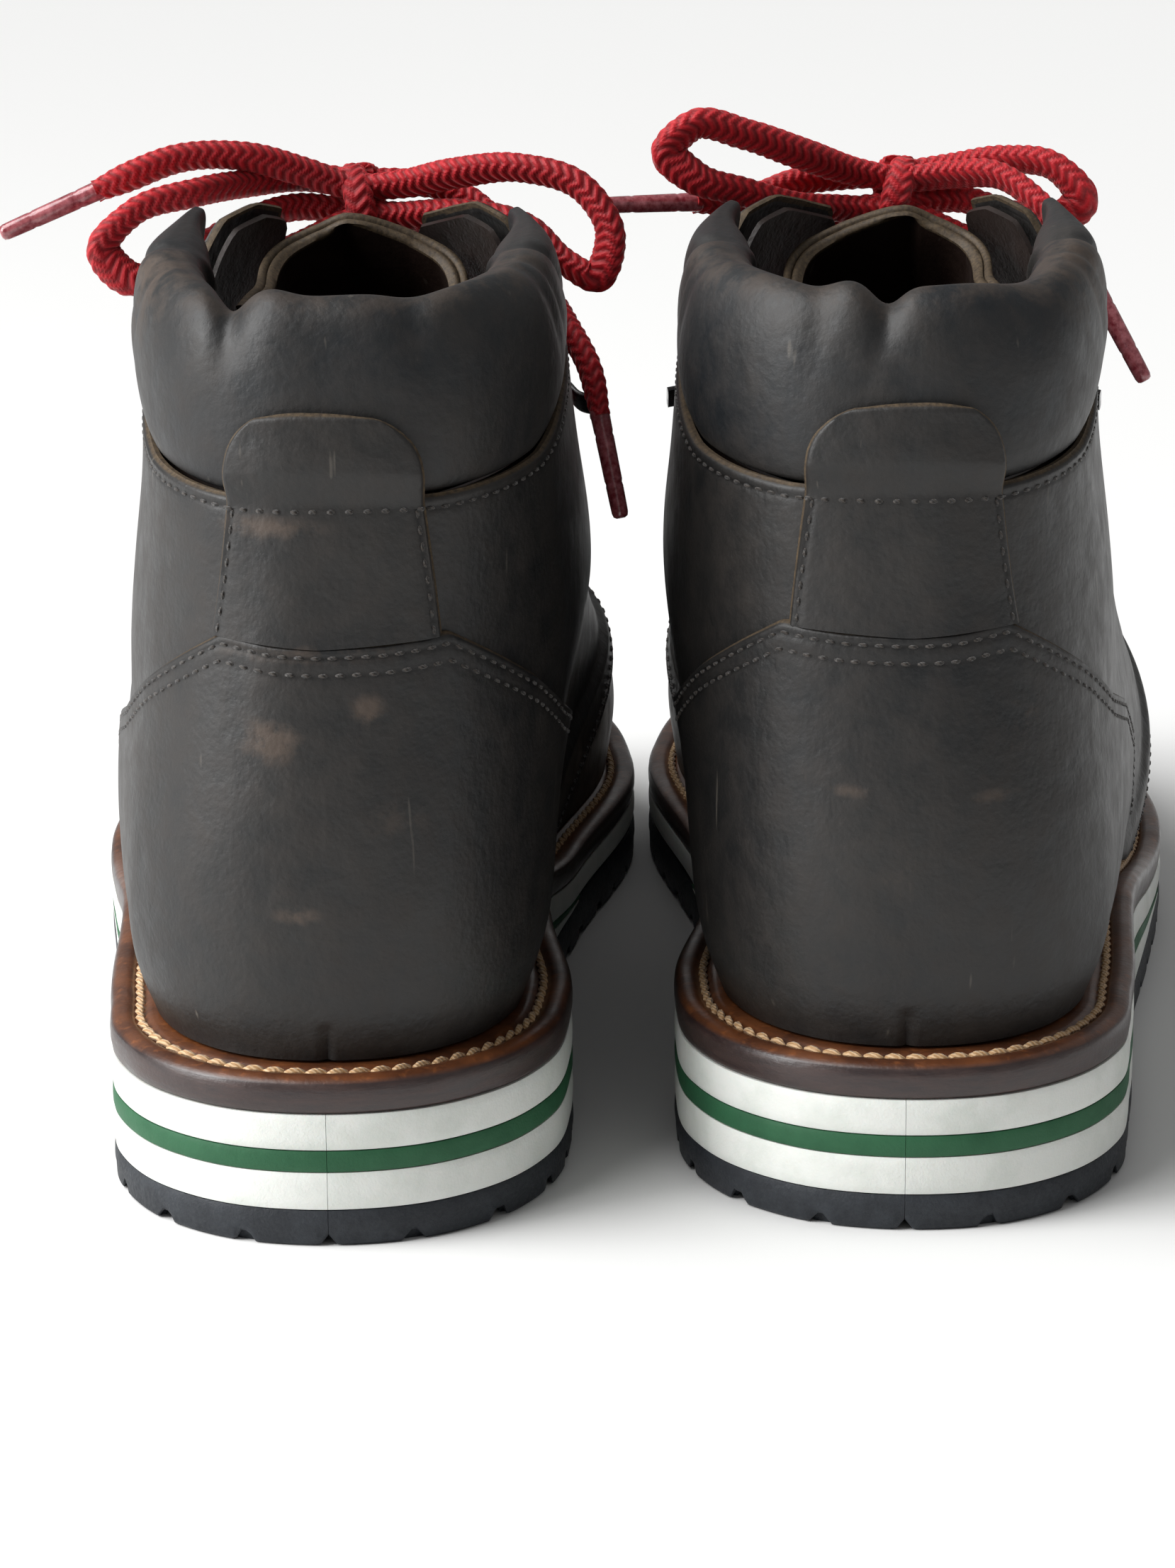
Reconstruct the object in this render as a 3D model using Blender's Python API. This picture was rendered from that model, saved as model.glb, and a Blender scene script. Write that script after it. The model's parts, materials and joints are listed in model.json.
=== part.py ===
"""A pair of lace-up leather hiking boots, left and right, standing side by side.

Every boot is worked out in its own plan frame in millimetres: x points to the
other boot, y to the toes, z up, with the heel at -y and the tread on z = 0.
place() turns that into the world in metres, +Z up, and mirrors it for the
right boot.  Pieces: a layered sole, a leather upper cut in panels, a padded
collar, a tongue, a lining, lace hardware, a braided lace and its aglets.
"""
import bpy
import numpy as np

MM = 0.001

# ---- driving dimensions, mm and radians -----------------------------------
SOLE_LENGTH = 304.0
HEEL_WIDTH = 79.0
HEEL_LENGTH = 47.3            # from the back of the heel to its widest point
BALL_MEDIAL, BALL_MEDIAL_Y = 51.3, 90.0
BALL_LATERAL, BALL_LATERAL_Y = 54.7, 36.9
BOOT_SPACING = 102.5          # between the two boots' plan origins
BOOT_STAGGER = 7.2            # the right boot stands this much further forward
SPLAY = {"left": 0.018, "right": 0.034}   # toes turned outward
FEATHER_INSET = 7.5           # the upper's foot, in from the sole's edge
HEEL_PINCH = 0.90             # the heel of the upper is narrower still
GAP = 0.3                     # between touching solids
LEATHER = 1.6
LINING, LINING_DEPTH = 0.9, 2.6
FEATHER_SLACK = 0.8              # the lining stands further in along the sole
SKIN_GAP = 0.8                # between two layers of leather, which bend differently
LACE = 4.8
SIDES = {"left": 1, "right": -1}

# heights of the sole's layers at the heel and at the forefoot, mm
HEEL_LEVELS = dict(tread=6.3, lower=12.8, stripe=16.5, upper=22.7, welt=28.6)
FRONT_LEVELS = dict(tread=8.5, lower=8.9, stripe=9.3, upper=14.0, welt=19.0)
WEDGE_START, WEDGE_END = -55.0, 22.0
SPRING_START, SPRING = 70.0, 10.0


# ---- materials ------------------------------------------------------------
def material(name, colour, roughness, metallic=0.0):
    """One plain finish; colour is linear RGB."""
    finish = bpy.data.materials.new(name)
    finish.use_nodes = True
    shader = finish.node_tree.nodes["Principled BSDF"]
    shader.inputs["Base Color"].default_value = (*colour, 1.0)
    shader.inputs["Roughness"].default_value = roughness
    shader.inputs["Metallic"].default_value = metallic
    return finish


def make_materials():
    return {
        "oiled_leather": material("oiled_leather", (0.035, 0.030, 0.027), 0.5),
        "collar_leather": material("collar_leather", (0.045, 0.042, 0.040), 0.5),
        "lining_leather": material("lining_leather", (0.020, 0.012, 0.009), 0.6),
        "welt_leather": material("welt_leather", (0.060, 0.022, 0.012), 0.45),
        "white_foam": material("white_foam", (0.74, 0.76, 0.72), 0.6),
        "green_foam": material("green_foam", (0.024, 0.105, 0.045), 0.6),
        "black_rubber": material("black_rubber", (0.010, 0.012, 0.016), 0.7),
        "insole_board": material("insole_board", (0.30, 0.19, 0.10), 0.8),
        "spring_steel": material("spring_steel", (0.55, 0.55, 0.56), 0.35, 1.0),
        "black_enamel": material("black_enamel", (0.012, 0.012, 0.013), 0.3, 0.6),
        "red_braid": material("red_braid", (0.45, 0.010, 0.012), 0.7),
        "aglet_film": material("aglet_film", (0.42, 0.09, 0.10), 0.3),
    }


# ---- smooth curves --------------------------------------------------------
def hermite(knots, values, at):
    """Cubic Hermite pieces through (knots, values), slopes by differences."""
    knots = np.asarray(knots, float)
    values = np.asarray(values, float)
    at = np.clip(np.asarray(at, float), knots[0], knots[-1])
    slopes = np.gradient(values, knots, axis=0)
    i = np.clip(np.searchsorted(knots, at) - 1, 0, len(knots) - 2)
    step = knots[i + 1] - knots[i]
    t = (at - knots[i]) / step
    if values.ndim > 1:
        t, step = t[..., None], step[..., None]
    return ((2 * t**3 - 3 * t**2 + 1) * values[i] + (t**3 - 2 * t**2 + t) * step * slopes[i]
            + (3 * t**2 - 2 * t**3) * values[i + 1] + (t**3 - t**2) * step * slopes[i + 1])


def arc_lengths(points):
    """Running chord length along the points, from 0."""
    steps = np.linalg.norm(np.diff(points, axis=0), axis=1)
    return np.concatenate([[0.0], np.cumsum(steps)])


def smooth(low, high, value):
    """0 below low, 1 above high, eased between."""
    t = np.clip((np.asarray(value, float) - low) / (high - low), 0, 1)
    return t * t * (3 - 2 * t)


# ---- the sole's outline ---------------------------------------------------
def sole_outline():
    """Closed plan curve of the sole, from the toe tip over the lateral side
    (x < 0) to the heel and back along the medial side, as 720 points."""
    half, power = HEEL_WIDTH / 2, 2 / 2.15
    back = -SOLE_LENGTH / 2
    angles = np.linspace(-np.pi / 2, np.pi / 2, 9)
    heel = [(half * np.sign(np.sin(a)) * abs(np.sin(a)) ** power,
             back + HEEL_LENGTH - HEEL_LENGTH * abs(np.cos(a)) ** power) for a in angles]
    medial = [(36, -62), (34, -25), (40, 15), (BALL_MEDIAL, BALL_MEDIAL_Y),
              (BALL_MEDIAL - 5, BALL_MEDIAL_Y + 26), (32, 138)]
    toe = [(7, SOLE_LENGTH / 2)]
    lateral = [(-BALL_LATERAL, BALL_LATERAL_Y), (-BALL_LATERAL + 5, BALL_LATERAL_Y - 45),
               (-44, -45)]
    outer_toe = [(-20, 146), (-44, 118), (-BALL_LATERAL + 3, BALL_LATERAL_Y + 40)]
    loop = toe + outer_toe + lateral + heel + medial
    around = np.array(loop[-3:] + loop + loop[:4])
    knots = arc_lengths(around)
    start, end = knots[3], knots[3 + len(loop)]
    return hermite(knots, around, np.linspace(start, end, 721)[:-1])


OUTLINE = sole_outline()


def inset_outline(inset):
    """The outline moved in by inset along its own normals."""
    ahead, behind = np.roll(OUTLINE, -1, axis=0), np.roll(OUTLINE, 1, axis=0)
    along = ahead - behind
    along /= np.linalg.norm(along, axis=1)[:, None]
    inward = np.stack([-along[:, 1], along[:, 0]], axis=1)
    return OUTLINE + inset * inward


def halves(inset):
    """The lateral and medial halves, each from the heel's back to the toe."""
    loop = inset_outline(inset)
    toe, heel = loop[:, 1].argmax(), loop[:, 1].argmin()
    loop = np.roll(loop, -toe, axis=0)
    heel = (heel - toe) % len(loop)
    lateral = loop[:heel + 1][::-1]
    medial = np.concatenate([loop[heel:], loop[:1]])
    return lateral, medial


def across(y, inset):
    """Lateral and medial x of the inset outline at y."""
    lateral, medial = halves(inset)
    return (np.interp(y, lateral[:, 1], lateral[:, 0]),
            np.interp(y, medial[:, 1], medial[:, 0]))


# ---- heights in the sole --------------------------------------------------
def spring(y):
    """How far the tread lifts off the ground towards the toe."""
    return SPRING * (np.clip((y - SPRING_START) / (SOLE_LENGTH / 2 - SPRING_START), 0, 1)) ** 2


def level(name, y):
    """Height of the top of a sole layer at y."""
    y = np.asarray(y, float)
    if name == "ground":
        return spring(y)
    front = smooth(WEDGE_START, WEDGE_END, y)
    return HEEL_LEVELS[name] * (1 - front) + FRONT_LEVELS[name] * front + spring(y)


# ---- the upper's surface --------------------------------------------------
# Rings climb from the feather line, v = 0, to the top line, v = 1.  Each lies
# near a plane through its back point and its front point, given as (y, z).
RING_V = np.linspace(0, 1, 11)
RING_BACK = [(-140.5, 28.9), (-143.5, 40), (-144.5, 52), (-144, 65), (-142.5, 78), (-140.5, 91),
             (-138.5, 104), (-137, 117), (-135.5, 129), (-134, 141), (-130.5, 153)]
RING_FRONT = [(145, 29), (147.5, 43), (136, 55), (113, 64), (84, 73), (52, 85),
              (24, 101), (2, 118), (-14, 135), (-25, 149), (-32, 159)]
RING_MEDIAL = [37, 38.5, 39.5, 40.5, 41.2, 40.3, 38.7, 37.4, 35.8, 34.4, 32.3]
RING_LATERAL = [36.5, 38.5, 39.5, 39.5, 38.5, 38, 36.7, 34.8, 33.8, 33.3, 31.3]
RING_SHIFT = [0, 0, 0.5, 1, 1.5, 2, 2.5, 2.5, 2.5, 2.5, 2.5]
RING_OVAL = [0, 0.06, 0.22, 0.48, 0.74, 0.92, 1, 1, 1, 1, 1]
HEEL_SWELL = [1, 1.13, 1.18, 1.19, 1.16, 1.1, 1, 1, 1, 1, 1]
TOE_SWELL = [1, 1.06, 1.055, 1.03, 1, 1, 1, 1, 1, 1, 1]
OVAL_POWER = 2.25
WIDEST = 0.47


def half_tables():
    """For u from -1 (toe, lateral way) over 0 (heel) to 1 (toe, medial way):
    x of the feather outline and the fraction s of its length from the heel."""
    lateral, medial = halves(FEATHER_INSET)
    loop = np.concatenate([lateral[::-1], medial[1:]])
    loop[:, 0] *= HEEL_PINCH + (1 - HEEL_PINCH) * smooth(-95, -30, loop[:, 1])
    walked = np.concatenate([-arc_lengths(lateral)[::-1] / arc_lengths(lateral)[-1],
                             arc_lengths(medial)[1:] / arc_lengths(medial)[-1]])
    low, high = loop[:, 1].min(), loop[:, 1].max()
    return walked, loop[:, 0], (loop[:, 1] - low) / (high - low)


WALKED, FEATHER_X, FEATHER_S = half_tables()


def bare_upper(u, v):
    """The upper's surface.  x blends the feather outline into an oval while v
    climbs; y and z run along the ring's line from its back to its front."""
    u, v = np.broadcast_arrays(np.asarray(u, float), np.asarray(v, float))
    u = (u + 1) % 2 - 1
    s = np.interp(u, WALKED, FEATHER_S)
    back = hermite(RING_V, RING_BACK, v)
    front = hermite(RING_V, RING_FRONT, v)
    y = back[..., 0] + (front[..., 0] - back[..., 0]) * s
    z = back[..., 1] + (front[..., 1] - back[..., 1]) * s
    skew = s ** (np.log(0.5) / np.log(WIDEST))
    oval = np.maximum(1 - np.abs(2 * skew - 1) ** OVAL_POWER, 0) ** (1 / OVAL_POWER)
    wide = np.where(u < 0, -hermite(RING_V, RING_LATERAL, v), hermite(RING_V, RING_MEDIAL, v))
    oval_x = wide * oval + hermite(RING_V, RING_SHIFT, v) * np.minimum(1, 3 * oval)
    share = hermite(RING_V, RING_OVAL, v)
    toward_toe = smooth(0.2, 0.5, s)
    swell = (hermite(RING_V, HEEL_SWELL, v) * (1 - toward_toe)
             + hermite(RING_V, TOE_SWELL, v) * toward_toe)
    sole_x = np.interp(u, WALKED, FEATHER_X) * swell
    x = (1 - share) * sole_x + share * oval_x
    at_feather = level("welt", y) + 2 * GAP - (RING_BACK[0][1] + (RING_FRONT[0][1] - RING_BACK[0][1]) * s)
    z = z + at_feather * (1 - smooth(0, 0.4, v))
    return np.stack([x, y, z], axis=-1)


def upper(u, v, out=0.0):
    """A point of the upper's surface, moved out along its normal."""
    u, v = np.broadcast_arrays(np.asarray(u, float), np.asarray(v, float))
    du, dv = 0.004, 0.004
    low, high = np.clip(v - dv, 0, 1), np.clip(v + dv, 0, 1)
    along = bare_upper(u + du, v) - bare_upper(u - du, v)
    up = bare_upper(u, high) - bare_upper(u, low)
    normal = np.cross(along, up)
    normal[..., 2] *= smooth(0, 0.12, v)       # level at the feather line
    normal /= np.linalg.norm(normal, axis=-1)[..., None]
    return bare_upper(u, v) + np.asarray(out)[..., None] * normal


def u_at(side, y, v):
    """The u at which ring v passes y on that side, -1 lateral or 1 medial."""
    back, front = hermite(RING_V, RING_BACK, v), hermite(RING_V, RING_FRONT, v)
    s = np.clip((y - back[..., 0]) / (front[..., 0] - back[..., 0]), 0, 1)
    on_side = WALKED * side >= 0
    order = np.argsort(FEATHER_S[on_side])
    return np.interp(s, FEATHER_S[on_side][order], WALKED[on_side][order])


def uv(side, y, z):
    """The (u, v) of the side point at y and z."""
    v = np.linspace(0, 1, 401)
    u = u_at(side, np.full_like(v, y), v)
    found = np.interp(z, bare_upper(u, v)[:, 2], v)
    return float(u_at(side, y, np.array(found))), float(found)


THROAT_V = 0.40
FACING_V = [THROAT_V, 0.5, 0.6, 0.7, 0.85, 1.0]
FACING_HALF_GAP = [12, 15, 18.5, 21.5, 25, 27]


def facing_u(side, v):
    """The u of the quarter's front edge beside the lacing gap at v."""
    v = np.atleast_1d(np.asarray(v, float))
    reach = hermite(FACING_V, FACING_HALF_GAP, v)
    u = np.linspace(0.55, 1, 400) * side
    found = [np.interp(-gap, -np.abs(bare_upper(u, height)[:, 0]), np.abs(u))
             for gap, height in zip(reach, v)]
    return side * np.array(found)


# ---- building solids ------------------------------------------------------
FINISHES = {}


def place(points, boot):
    """Plan frame in millimetres to the world in metres for one boot."""
    mirror = SIDES[boot]
    points = np.asarray(points, float)
    turn = SPLAY[boot]
    x = points[:, 0] * np.cos(turn) - points[:, 1] * np.sin(turn) - BOOT_SPACING / 2
    y = points[:, 0] * np.sin(turn) + points[:, 1] * np.cos(turn) - mirror * BOOT_STAGGER / 2
    return np.stack([x * mirror, y, points[:, 2]], axis=1) * MM


def solid(name, boot, points, faces, finish, origin=None):
    """One named object from plan points; origin is its plan pivot."""
    world = place(points, boot)
    pivot = place([origin], boot)[0] if origin is not None else np.zeros(3)
    if boot == "right":
        faces = [tuple(reversed(face)) for face in faces]
    mesh = bpy.data.meshes.new(name)
    mesh.from_pydata((world - pivot).tolist(), [], [tuple(map(int, face)) for face in faces])
    mesh.materials.append(FINISHES[finish])
    mesh.shade_smooth()
    mesh.set_sharp_from_angle(angle=0.7)
    piece = bpy.data.objects.new(f"{boot}_{name}", mesh)
    piece.location = pivot
    bpy.context.scene.collection.objects.link(piece)
    return piece


def sheet_faces(rows, columns, closed_rows=False):
    """Quads of a grid whose points are numbered row by row."""
    quads = []
    for i in range(rows if closed_rows else rows - 1):
        for j in range(columns - 1):
            a, b = i * columns + j, ((i + 1) % rows) * columns + j
            quads.append((a, a + 1, b + 1, b))
    return quads


def shell(outer, inner):
    """Closed solid between two grids of points with the same layout; the
    outer one's rows and columns turn anticlockwise seen from outside."""
    rows, columns = outer.shape[:2]
    count = rows * columns
    points = np.concatenate([outer.reshape(-1, 3), inner.reshape(-1, 3)])
    faces = sheet_faces(rows, columns)
    faces += [tuple(count + k for k in reversed(face)) for face in sheet_faces(rows, columns)]
    grid = np.arange(count).reshape(rows, columns)
    rim = np.concatenate([grid[0, :], grid[1:, -1], grid[-1, -2::-1], grid[-2:0:-1, 0]])
    for a, b in zip(rim, np.roll(rim, -1)):
        faces.append((b, a, a + count, b + count))
    return points, faces


def ruled(low, high, columns, rows):
    """Grid of (u, v) between two curves in the (u, v) plane."""
    def walk(curve):
        curve = np.array(curve, float)
        stretch = arc_lengths(curve * [1.0, 0.6])
        at = np.linspace(0, stretch[-1], columns)
        return np.stack([np.interp(at, stretch, curve[:, k]) for k in (0, 1)], axis=1)
    low, high = walk(low), walk(high)
    share = np.linspace(0, 1, rows)[:, None, None]
    return low[None] * (1 - share) + high[None] * share


def panel(name, boot, low, high, columns, rows, inner, outer, finish):
    """A leather panel over the (u, v) region between two curves."""
    grid = ruled(low, high, columns, rows)
    u, v = grid[..., 0], grid[..., 1]
    points, faces = shell(upper(u, v, np.full(u.shape, outer)), upper(u, v, np.full(u.shape, inner)))
    return solid(name, boot, points, faces, finish)


def swept(sections, closed=False):
    """Closed solid through sections, each a ring of points in the same order."""
    sections = np.asarray(sections, float)
    count, ring = sections.shape[:2]
    faces = []
    for i in range(count if closed else count - 1):
        for j in range(ring):
            a, b = i * ring, ((i + 1) % count) * ring
            faces.append((a + j, a + (j + 1) % ring, b + (j + 1) % ring, b + j))
    if not closed:
        faces.append(tuple(range(ring))[::-1])
        faces.append(tuple(range((count - 1) * ring, count * ring)))
    return sections.reshape(-1, 3), faces


# ---- sole -----------------------------------------------------------------
STATIONS = 23


def sole_layer(name, boot, finish, low, high, inset=0.0, start=None, end=None):
    """A slab whose edge is the inset outline; low and high give its heights
    as functions of y."""
    back = -SOLE_LENGTH / 2 + inset + 0.5 if start is None else start
    front = SOLE_LENGTH / 2 - inset - 0.5 if end is None else end
    turn = np.linspace(0, np.pi, STATIONS)
    y = (back + front) / 2 - (front - back) / 2 * np.cos(turn)
    lateral, medial = across(y, inset)
    bottom, top = low(y), high(y)
    sections = np.stack([np.stack([lateral, y, bottom], 1), np.stack([lateral, y, top], 1),
                         np.stack([medial, y, top], 1), np.stack([medial, y, bottom], 1)], axis=1)
    points, faces = swept(sections)
    return solid(name, boot, points, faces, finish)


def top_of(name, below=GAP / 2):
    return lambda y: level(name, y) - below


def over(name, above=GAP / 2):
    return lambda y: level(name, y) + above


WELT_WIDTH = 14.0
SHANK_WIDTH, SHANK_LENGTH, SHANK_MIDDLE = 14.0, 92.0, -38.0


def make_sole(boot):
    """Tread, foam wedge, foam stripe, full foam layer, welt, board, shank and
    footbed, bottom to top."""
    sole_layer("outsole", boot, "black_rubber", over("ground", 0), top_of("tread"))
    sole_layer("midsole_lower", boot, "white_foam", over("tread"), top_of("lower"), end=6.0)
    sole_layer("midsole_stripe", boot, "green_foam", over("lower"), top_of("stripe"), end=4.0)
    sole_layer("midsole_upper", boot, "white_foam", over("stripe"), top_of("upper"))
    welt_ring(boot)
    shank(boot)
    sole_layer("insole_board", boot, "insole_board", over("upper", 1.9), over("upper", 4.4),
               inset=WELT_WIDTH + 1.0)
    sole_layer("footbed", boot, "lining_leather", over("upper", 4.8), over("welt", 4.4),
               inset=WELT_WIDTH + 3.0)


def welt_ring(boot):
    """A strip of leather all round the sole, open in the middle."""
    pick = np.linspace(0, 720, 48, endpoint=False).astype(int)
    outer, inner = inset_outline(0.0)[pick], inset_outline(WELT_WIDTH)[pick]
    low, high = over("upper", 0.6), over("welt", 0)
    sections = []
    for (ox, oy), (ix, iy) in zip(outer, inner):
        sections.append([(ox, oy, low(oy)), (ix, iy, low(iy)), (ix, iy, high(iy)), (ox, oy, high(oy))])
    points, faces = swept(np.array(sections), closed=True)
    return solid("welt", boot, points, faces, "welt_leather")


def shank(boot):
    """A flat steel bar under the arch."""
    y = np.linspace(-SHANK_LENGTH / 2, SHANK_LENGTH / 2, 8) + SHANK_MIDDLE
    half = SHANK_WIDTH / 2
    low, high = level("upper", y) + 0.3, level("upper", y) + 1.5
    middle = -2.0
    sections = np.stack([np.stack([np.full(8, middle - half), y, low], 1),
                         np.stack([np.full(8, middle - half), y, high], 1),
                         np.stack([np.full(8, middle + half), y, high], 1),
                         np.stack([np.full(8, middle + half), y, low], 1)], axis=1)
    points, faces = swept(sections)
    return solid("shank", boot, points, faces, "spring_steel")


# ---- upper panels ---------------------------------------------------------
SEAM_Y = 8.0                     # where the vamp meets the quarters at the welt
COLLAR_BACK_V = 0.735
COUNTER_BACK_V = 0.553
COUNTER_CORNER = (0.068, 0.565)
PATCH_LOW, PATCH_STITCH, PATCH_TOP = 0.560, 0.723, 0.850
PATCH_SAG = 0.011                # its lower edge follows the counter's
PATCH_HALF_LOW, PATCH_HALF_MID, PATCH_HALF_TOP = 0.070, 0.063, 0.058
PATCH_LEAN = -0.008              # the patch sits a little to the lateral side


def collar_line(side):
    """(u, v) of the collar's lower seam from the back to the facing."""
    points = [(0.0, COLLAR_BACK_V), (side * 0.07, COLLAR_BACK_V)]
    points += [uv(side, y, z) for y, z in ((-112, 124), (-90, 130), (-65, 136))]
    front_v = 0.875
    points.append((float(facing_u(side, front_v)[0]), front_v))
    return points


def facing_line(side, top, bottom):
    """(u, v) down the quarter's front edge."""
    v = np.linspace(top, bottom, 10)
    return list(zip(facing_u(side, v), v))


def make_vamp(boot):
    lateral, medial = uv(-1, SEAM_Y, level("welt", SEAM_Y) + GAP)[0], uv(1, SEAM_Y, 0)[0]
    edge = 0.007
    low = [(lateral - edge, 0), (-1, 0), (medial + edge - 2, 0)]
    throat = facing_u(1, THROAT_V)[0]
    high = [(-throat - edge, THROAT_V), (-1, THROAT_V), (throat + edge - 2, THROAT_V)]
    return panel("vamp", boot, low[::-1], high[::-1], 25, 8, 0.0, LEATHER, "oiled_leather")


def make_quarter(boot, side):
    """One side of the boot between the back seam, welt, vamp and collar."""
    name = "quarter_medial" if side > 0 else "quarter_lateral"
    seam = uv(side, SEAM_Y, 0)[0]
    edge = 0.0015
    low = [(side * edge, 0), (seam, 0)]
    high = [(side * edge, COLLAR_BACK_V)] + collar_line(side)[1:]
    high = [(u, v - 0.004) for u, v in high] + facing_line(side, 0.86, THROAT_V)
    if side < 0:
        low, high = low[::-1], high[::-1]
    return panel(name, boot, low, high, 19, 7, 0.0, LEATHER, "oiled_leather")


def make_counter(boot):
    """The leather over the heel, its top edge dipping forward to the welt."""
    top = []
    for side in (-1, 1):
        line = [(0.0, COUNTER_BACK_V), (side * COUNTER_CORNER[0], COUNTER_CORNER[1])]
        line += [uv(side, y, z) for y, z in ((-118, 88), (-104, 80), (-80, 73), (-55, 62))]
        line.append((uv(side, -36, 0)[0], 0.13))
        top.append(line)
    high = top[0][::-1] + top[1][1:]
    low = [(high[0][0] - 0.01, 0.0), (0.0, 0.0), (high[-1][0] + 0.01, 0.0)]
    return panel("heel_counter", boot, low, high, 27, 5, LEATHER + SKIN_GAP, 2 * LEATHER + SKIN_GAP,
                 "oiled_leather")


def make_patch(boot):
    """The patch up the heel's back, sewn down below its cross stitch."""
    low = [(PATCH_LEAN - PATCH_HALF_LOW, PATCH_LOW + PATCH_SAG), (0.0, PATCH_LOW),
           (PATCH_LEAN + PATCH_HALF_LOW, PATCH_LOW + PATCH_SAG)]
    high = [(PATCH_LEAN - PATCH_HALF_MID, PATCH_STITCH - 0.014),
            (PATCH_LEAN + PATCH_HALF_MID, PATCH_STITCH - 0.014)]
    return panel("heel_patch", boot, low, high, 9, 5, LEATHER + SKIN_GAP, 2 * LEATHER + SKIN_GAP,
                 "oiled_leather")


COLLAR_SWELL = 2.4
TAB_OUT = COLLAR_SWELL + 1.2
TAB_HINGE_OUT = 4.2              # the hinge line runs along the outer face
TAB_RELIEF = 0.022               # room for the lower corners as the tab turns


def make_pull_tab(boot):
    """The patch's free upper half, which turns about the cross stitch."""
    rows = np.linspace(0, 1, 6)
    half = np.interp(rows, [0, 0.55, 0.82, 1], [PATCH_HALF_MID, PATCH_HALF_TOP + 0.002,
                                                PATCH_HALF_TOP - 0.003, PATCH_HALF_TOP - 0.018])
    across_tab = np.linspace(-1, 1, 9)
    u = PATCH_LEAN + half[:, None] * across_tab[None]
    v = (PATCH_STITCH + rows * (PATCH_TOP - PATCH_STITCH))[:, None]
    v = v + TAB_RELIEF * ((1 - rows) ** 2)[:, None] * across_tab[None] ** 2
    out = (LEATHER + SKIN_GAP + (TAB_OUT - LEATHER) * smooth(0, 0.35, rows))[:, None] + 0 * u
    points, faces = shell(upper(u, v, out + LEATHER), upper(u, v, out))
    pivot = upper(PATCH_LEAN, PATCH_STITCH, TAB_HINGE_OUT)
    return solid("pull_tab", boot, points, faces, "oiled_leather", origin=pivot)


def make_collar(boot):
    """The padded band round the top: each section runs up the outside, over
    the rolled top line and down the inside, thinning to the front corners."""
    ends = [collar_line(side)[::-1] for side in (-1, 1)]
    seam = np.array(ends[0] + ends[1][::-1][1:])
    walked = arc_lengths(seam)
    at = np.linspace(0, walked[-1], 31)
    u = np.interp(at, walked, seam[:, 0])
    low = np.interp(at, walked, seam[:, 1]) + 0.004
    sections = []
    for k in range(len(at)):
        full = smooth(0, 0.16, min(at[k], walked[-1] - at[k]) / walked[-1])
        top_u = u[k]
        rise = 1 - low[k]
        shape = [(0.0, 0.1, 0.1), (0.18, 0.6, 2.2), (0.5, 0.9, COLLAR_SWELL), (0.82, 0.9, 2.4),
                 (1.0, 0.2, -1.5), (1.0, -2.0, -6.0), (0.8, -2.4, -9.6), (0.45, -2.4, -10.4),
                 (0.15, -2.6, -7.0), (0.0, -2.6, -3.4)]
        ring = []
        for share, thin, thick in shape:
            out = thin * (1 - full) + thick * full
            ring.append(upper(top_u, low[k] + share * rise, out))
        sections.append(ring[::-1])
    points, faces = swept(np.array(sections))
    return solid("collar", boot, points, faces, "collar_leather")


def make_lining(boot):
    """The inner sleeve, from the welt up to the collar and the facings."""
    sides = {}
    for side in (-1, 1):
        line = collar_line(side)
        sides[side] = line[:-1] + facing_line(side, 0.86, THROAT_V + 0.004)
    high = [(u, v - 0.012) for u, v in sides[1]]
    high += [(1.0, THROAT_V - 0.008)]
    high += [(u + 2.0, v - 0.012) for u, v in sides[-1][::-1]]
    low = [(0.0, 0.0), (1.0, 0.0), (2.0, 0.0)]
    grid = ruled(low, high, 45, 7)[:, :-1]
    u, v = grid[..., 0], grid[..., 1]
    depth = LINING_DEPTH + FEATHER_SLACK * (1 - smooth(0.05, 0.30, v))
    outer = upper(u, v, -depth)
    inner = upper(u, v, -depth - LINING)
    rows, columns = u.shape
    sections = [np.concatenate([outer[:, j], inner[::-1, j]]) for j in range(columns)]
    points, faces = swept(np.array(sections)[::-1], closed=True)
    return solid("lining", boot, points, faces, "lining_leather")


TONGUE_WING = 0.57
TONGUE_THICK = 3.2
TONGUE_PIVOT_V = 0.425
TONGUE_FALL = 0.13               # the top edge falls away evenly from its peak


def make_tongue(boot):
    """A wide tongue under the facings; its top edge peaks in the middle."""
    share = np.linspace(-1, 1, 13)
    rows = np.linspace(0, 1, 8)
    reach = np.abs(bare_upper(1 + share * (1 - TONGUE_WING), 0.9)[:, 0])
    top = 0.985 - TONGUE_FALL * reach / reach.max()
    v = TONGUE_PIVOT_V + rows[:, None] * (top[None] - TONGUE_PIVOT_V)
    half = 0.055 + (1 - TONGUE_WING - 0.055) * smooth(0.42, 0.95, v)
    u = 1 + share[None] * half
    depth = 4.6 + 1.0 * smooth(0.55, 0.9, v)
    depth = depth + 7.2 * smooth(0.66, 0.84, v) * smooth(0.25, 0.75, np.abs(share))[None]
    points, faces = shell(upper(u, v, -depth), upper(u, v, -depth - TONGUE_THICK))
    return solid("tongue", boot, points, faces, "lining_leather",
                 origin=upper(1.0, TONGUE_PIVOT_V, -5.0))


# ---- lace hardware --------------------------------------------------------
RING_ROWS = [0.425, 0.478]
HOOK_ROWS = [0.54, 0.65]
HARDWARE_SETBACK = {1: (9, 10, 13, 17), -1: (9, 9, 9, 6.5)}   # base middles, from the edge
HARDWARE_SEAT = 1.6              # a flat base on bulging leather


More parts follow.
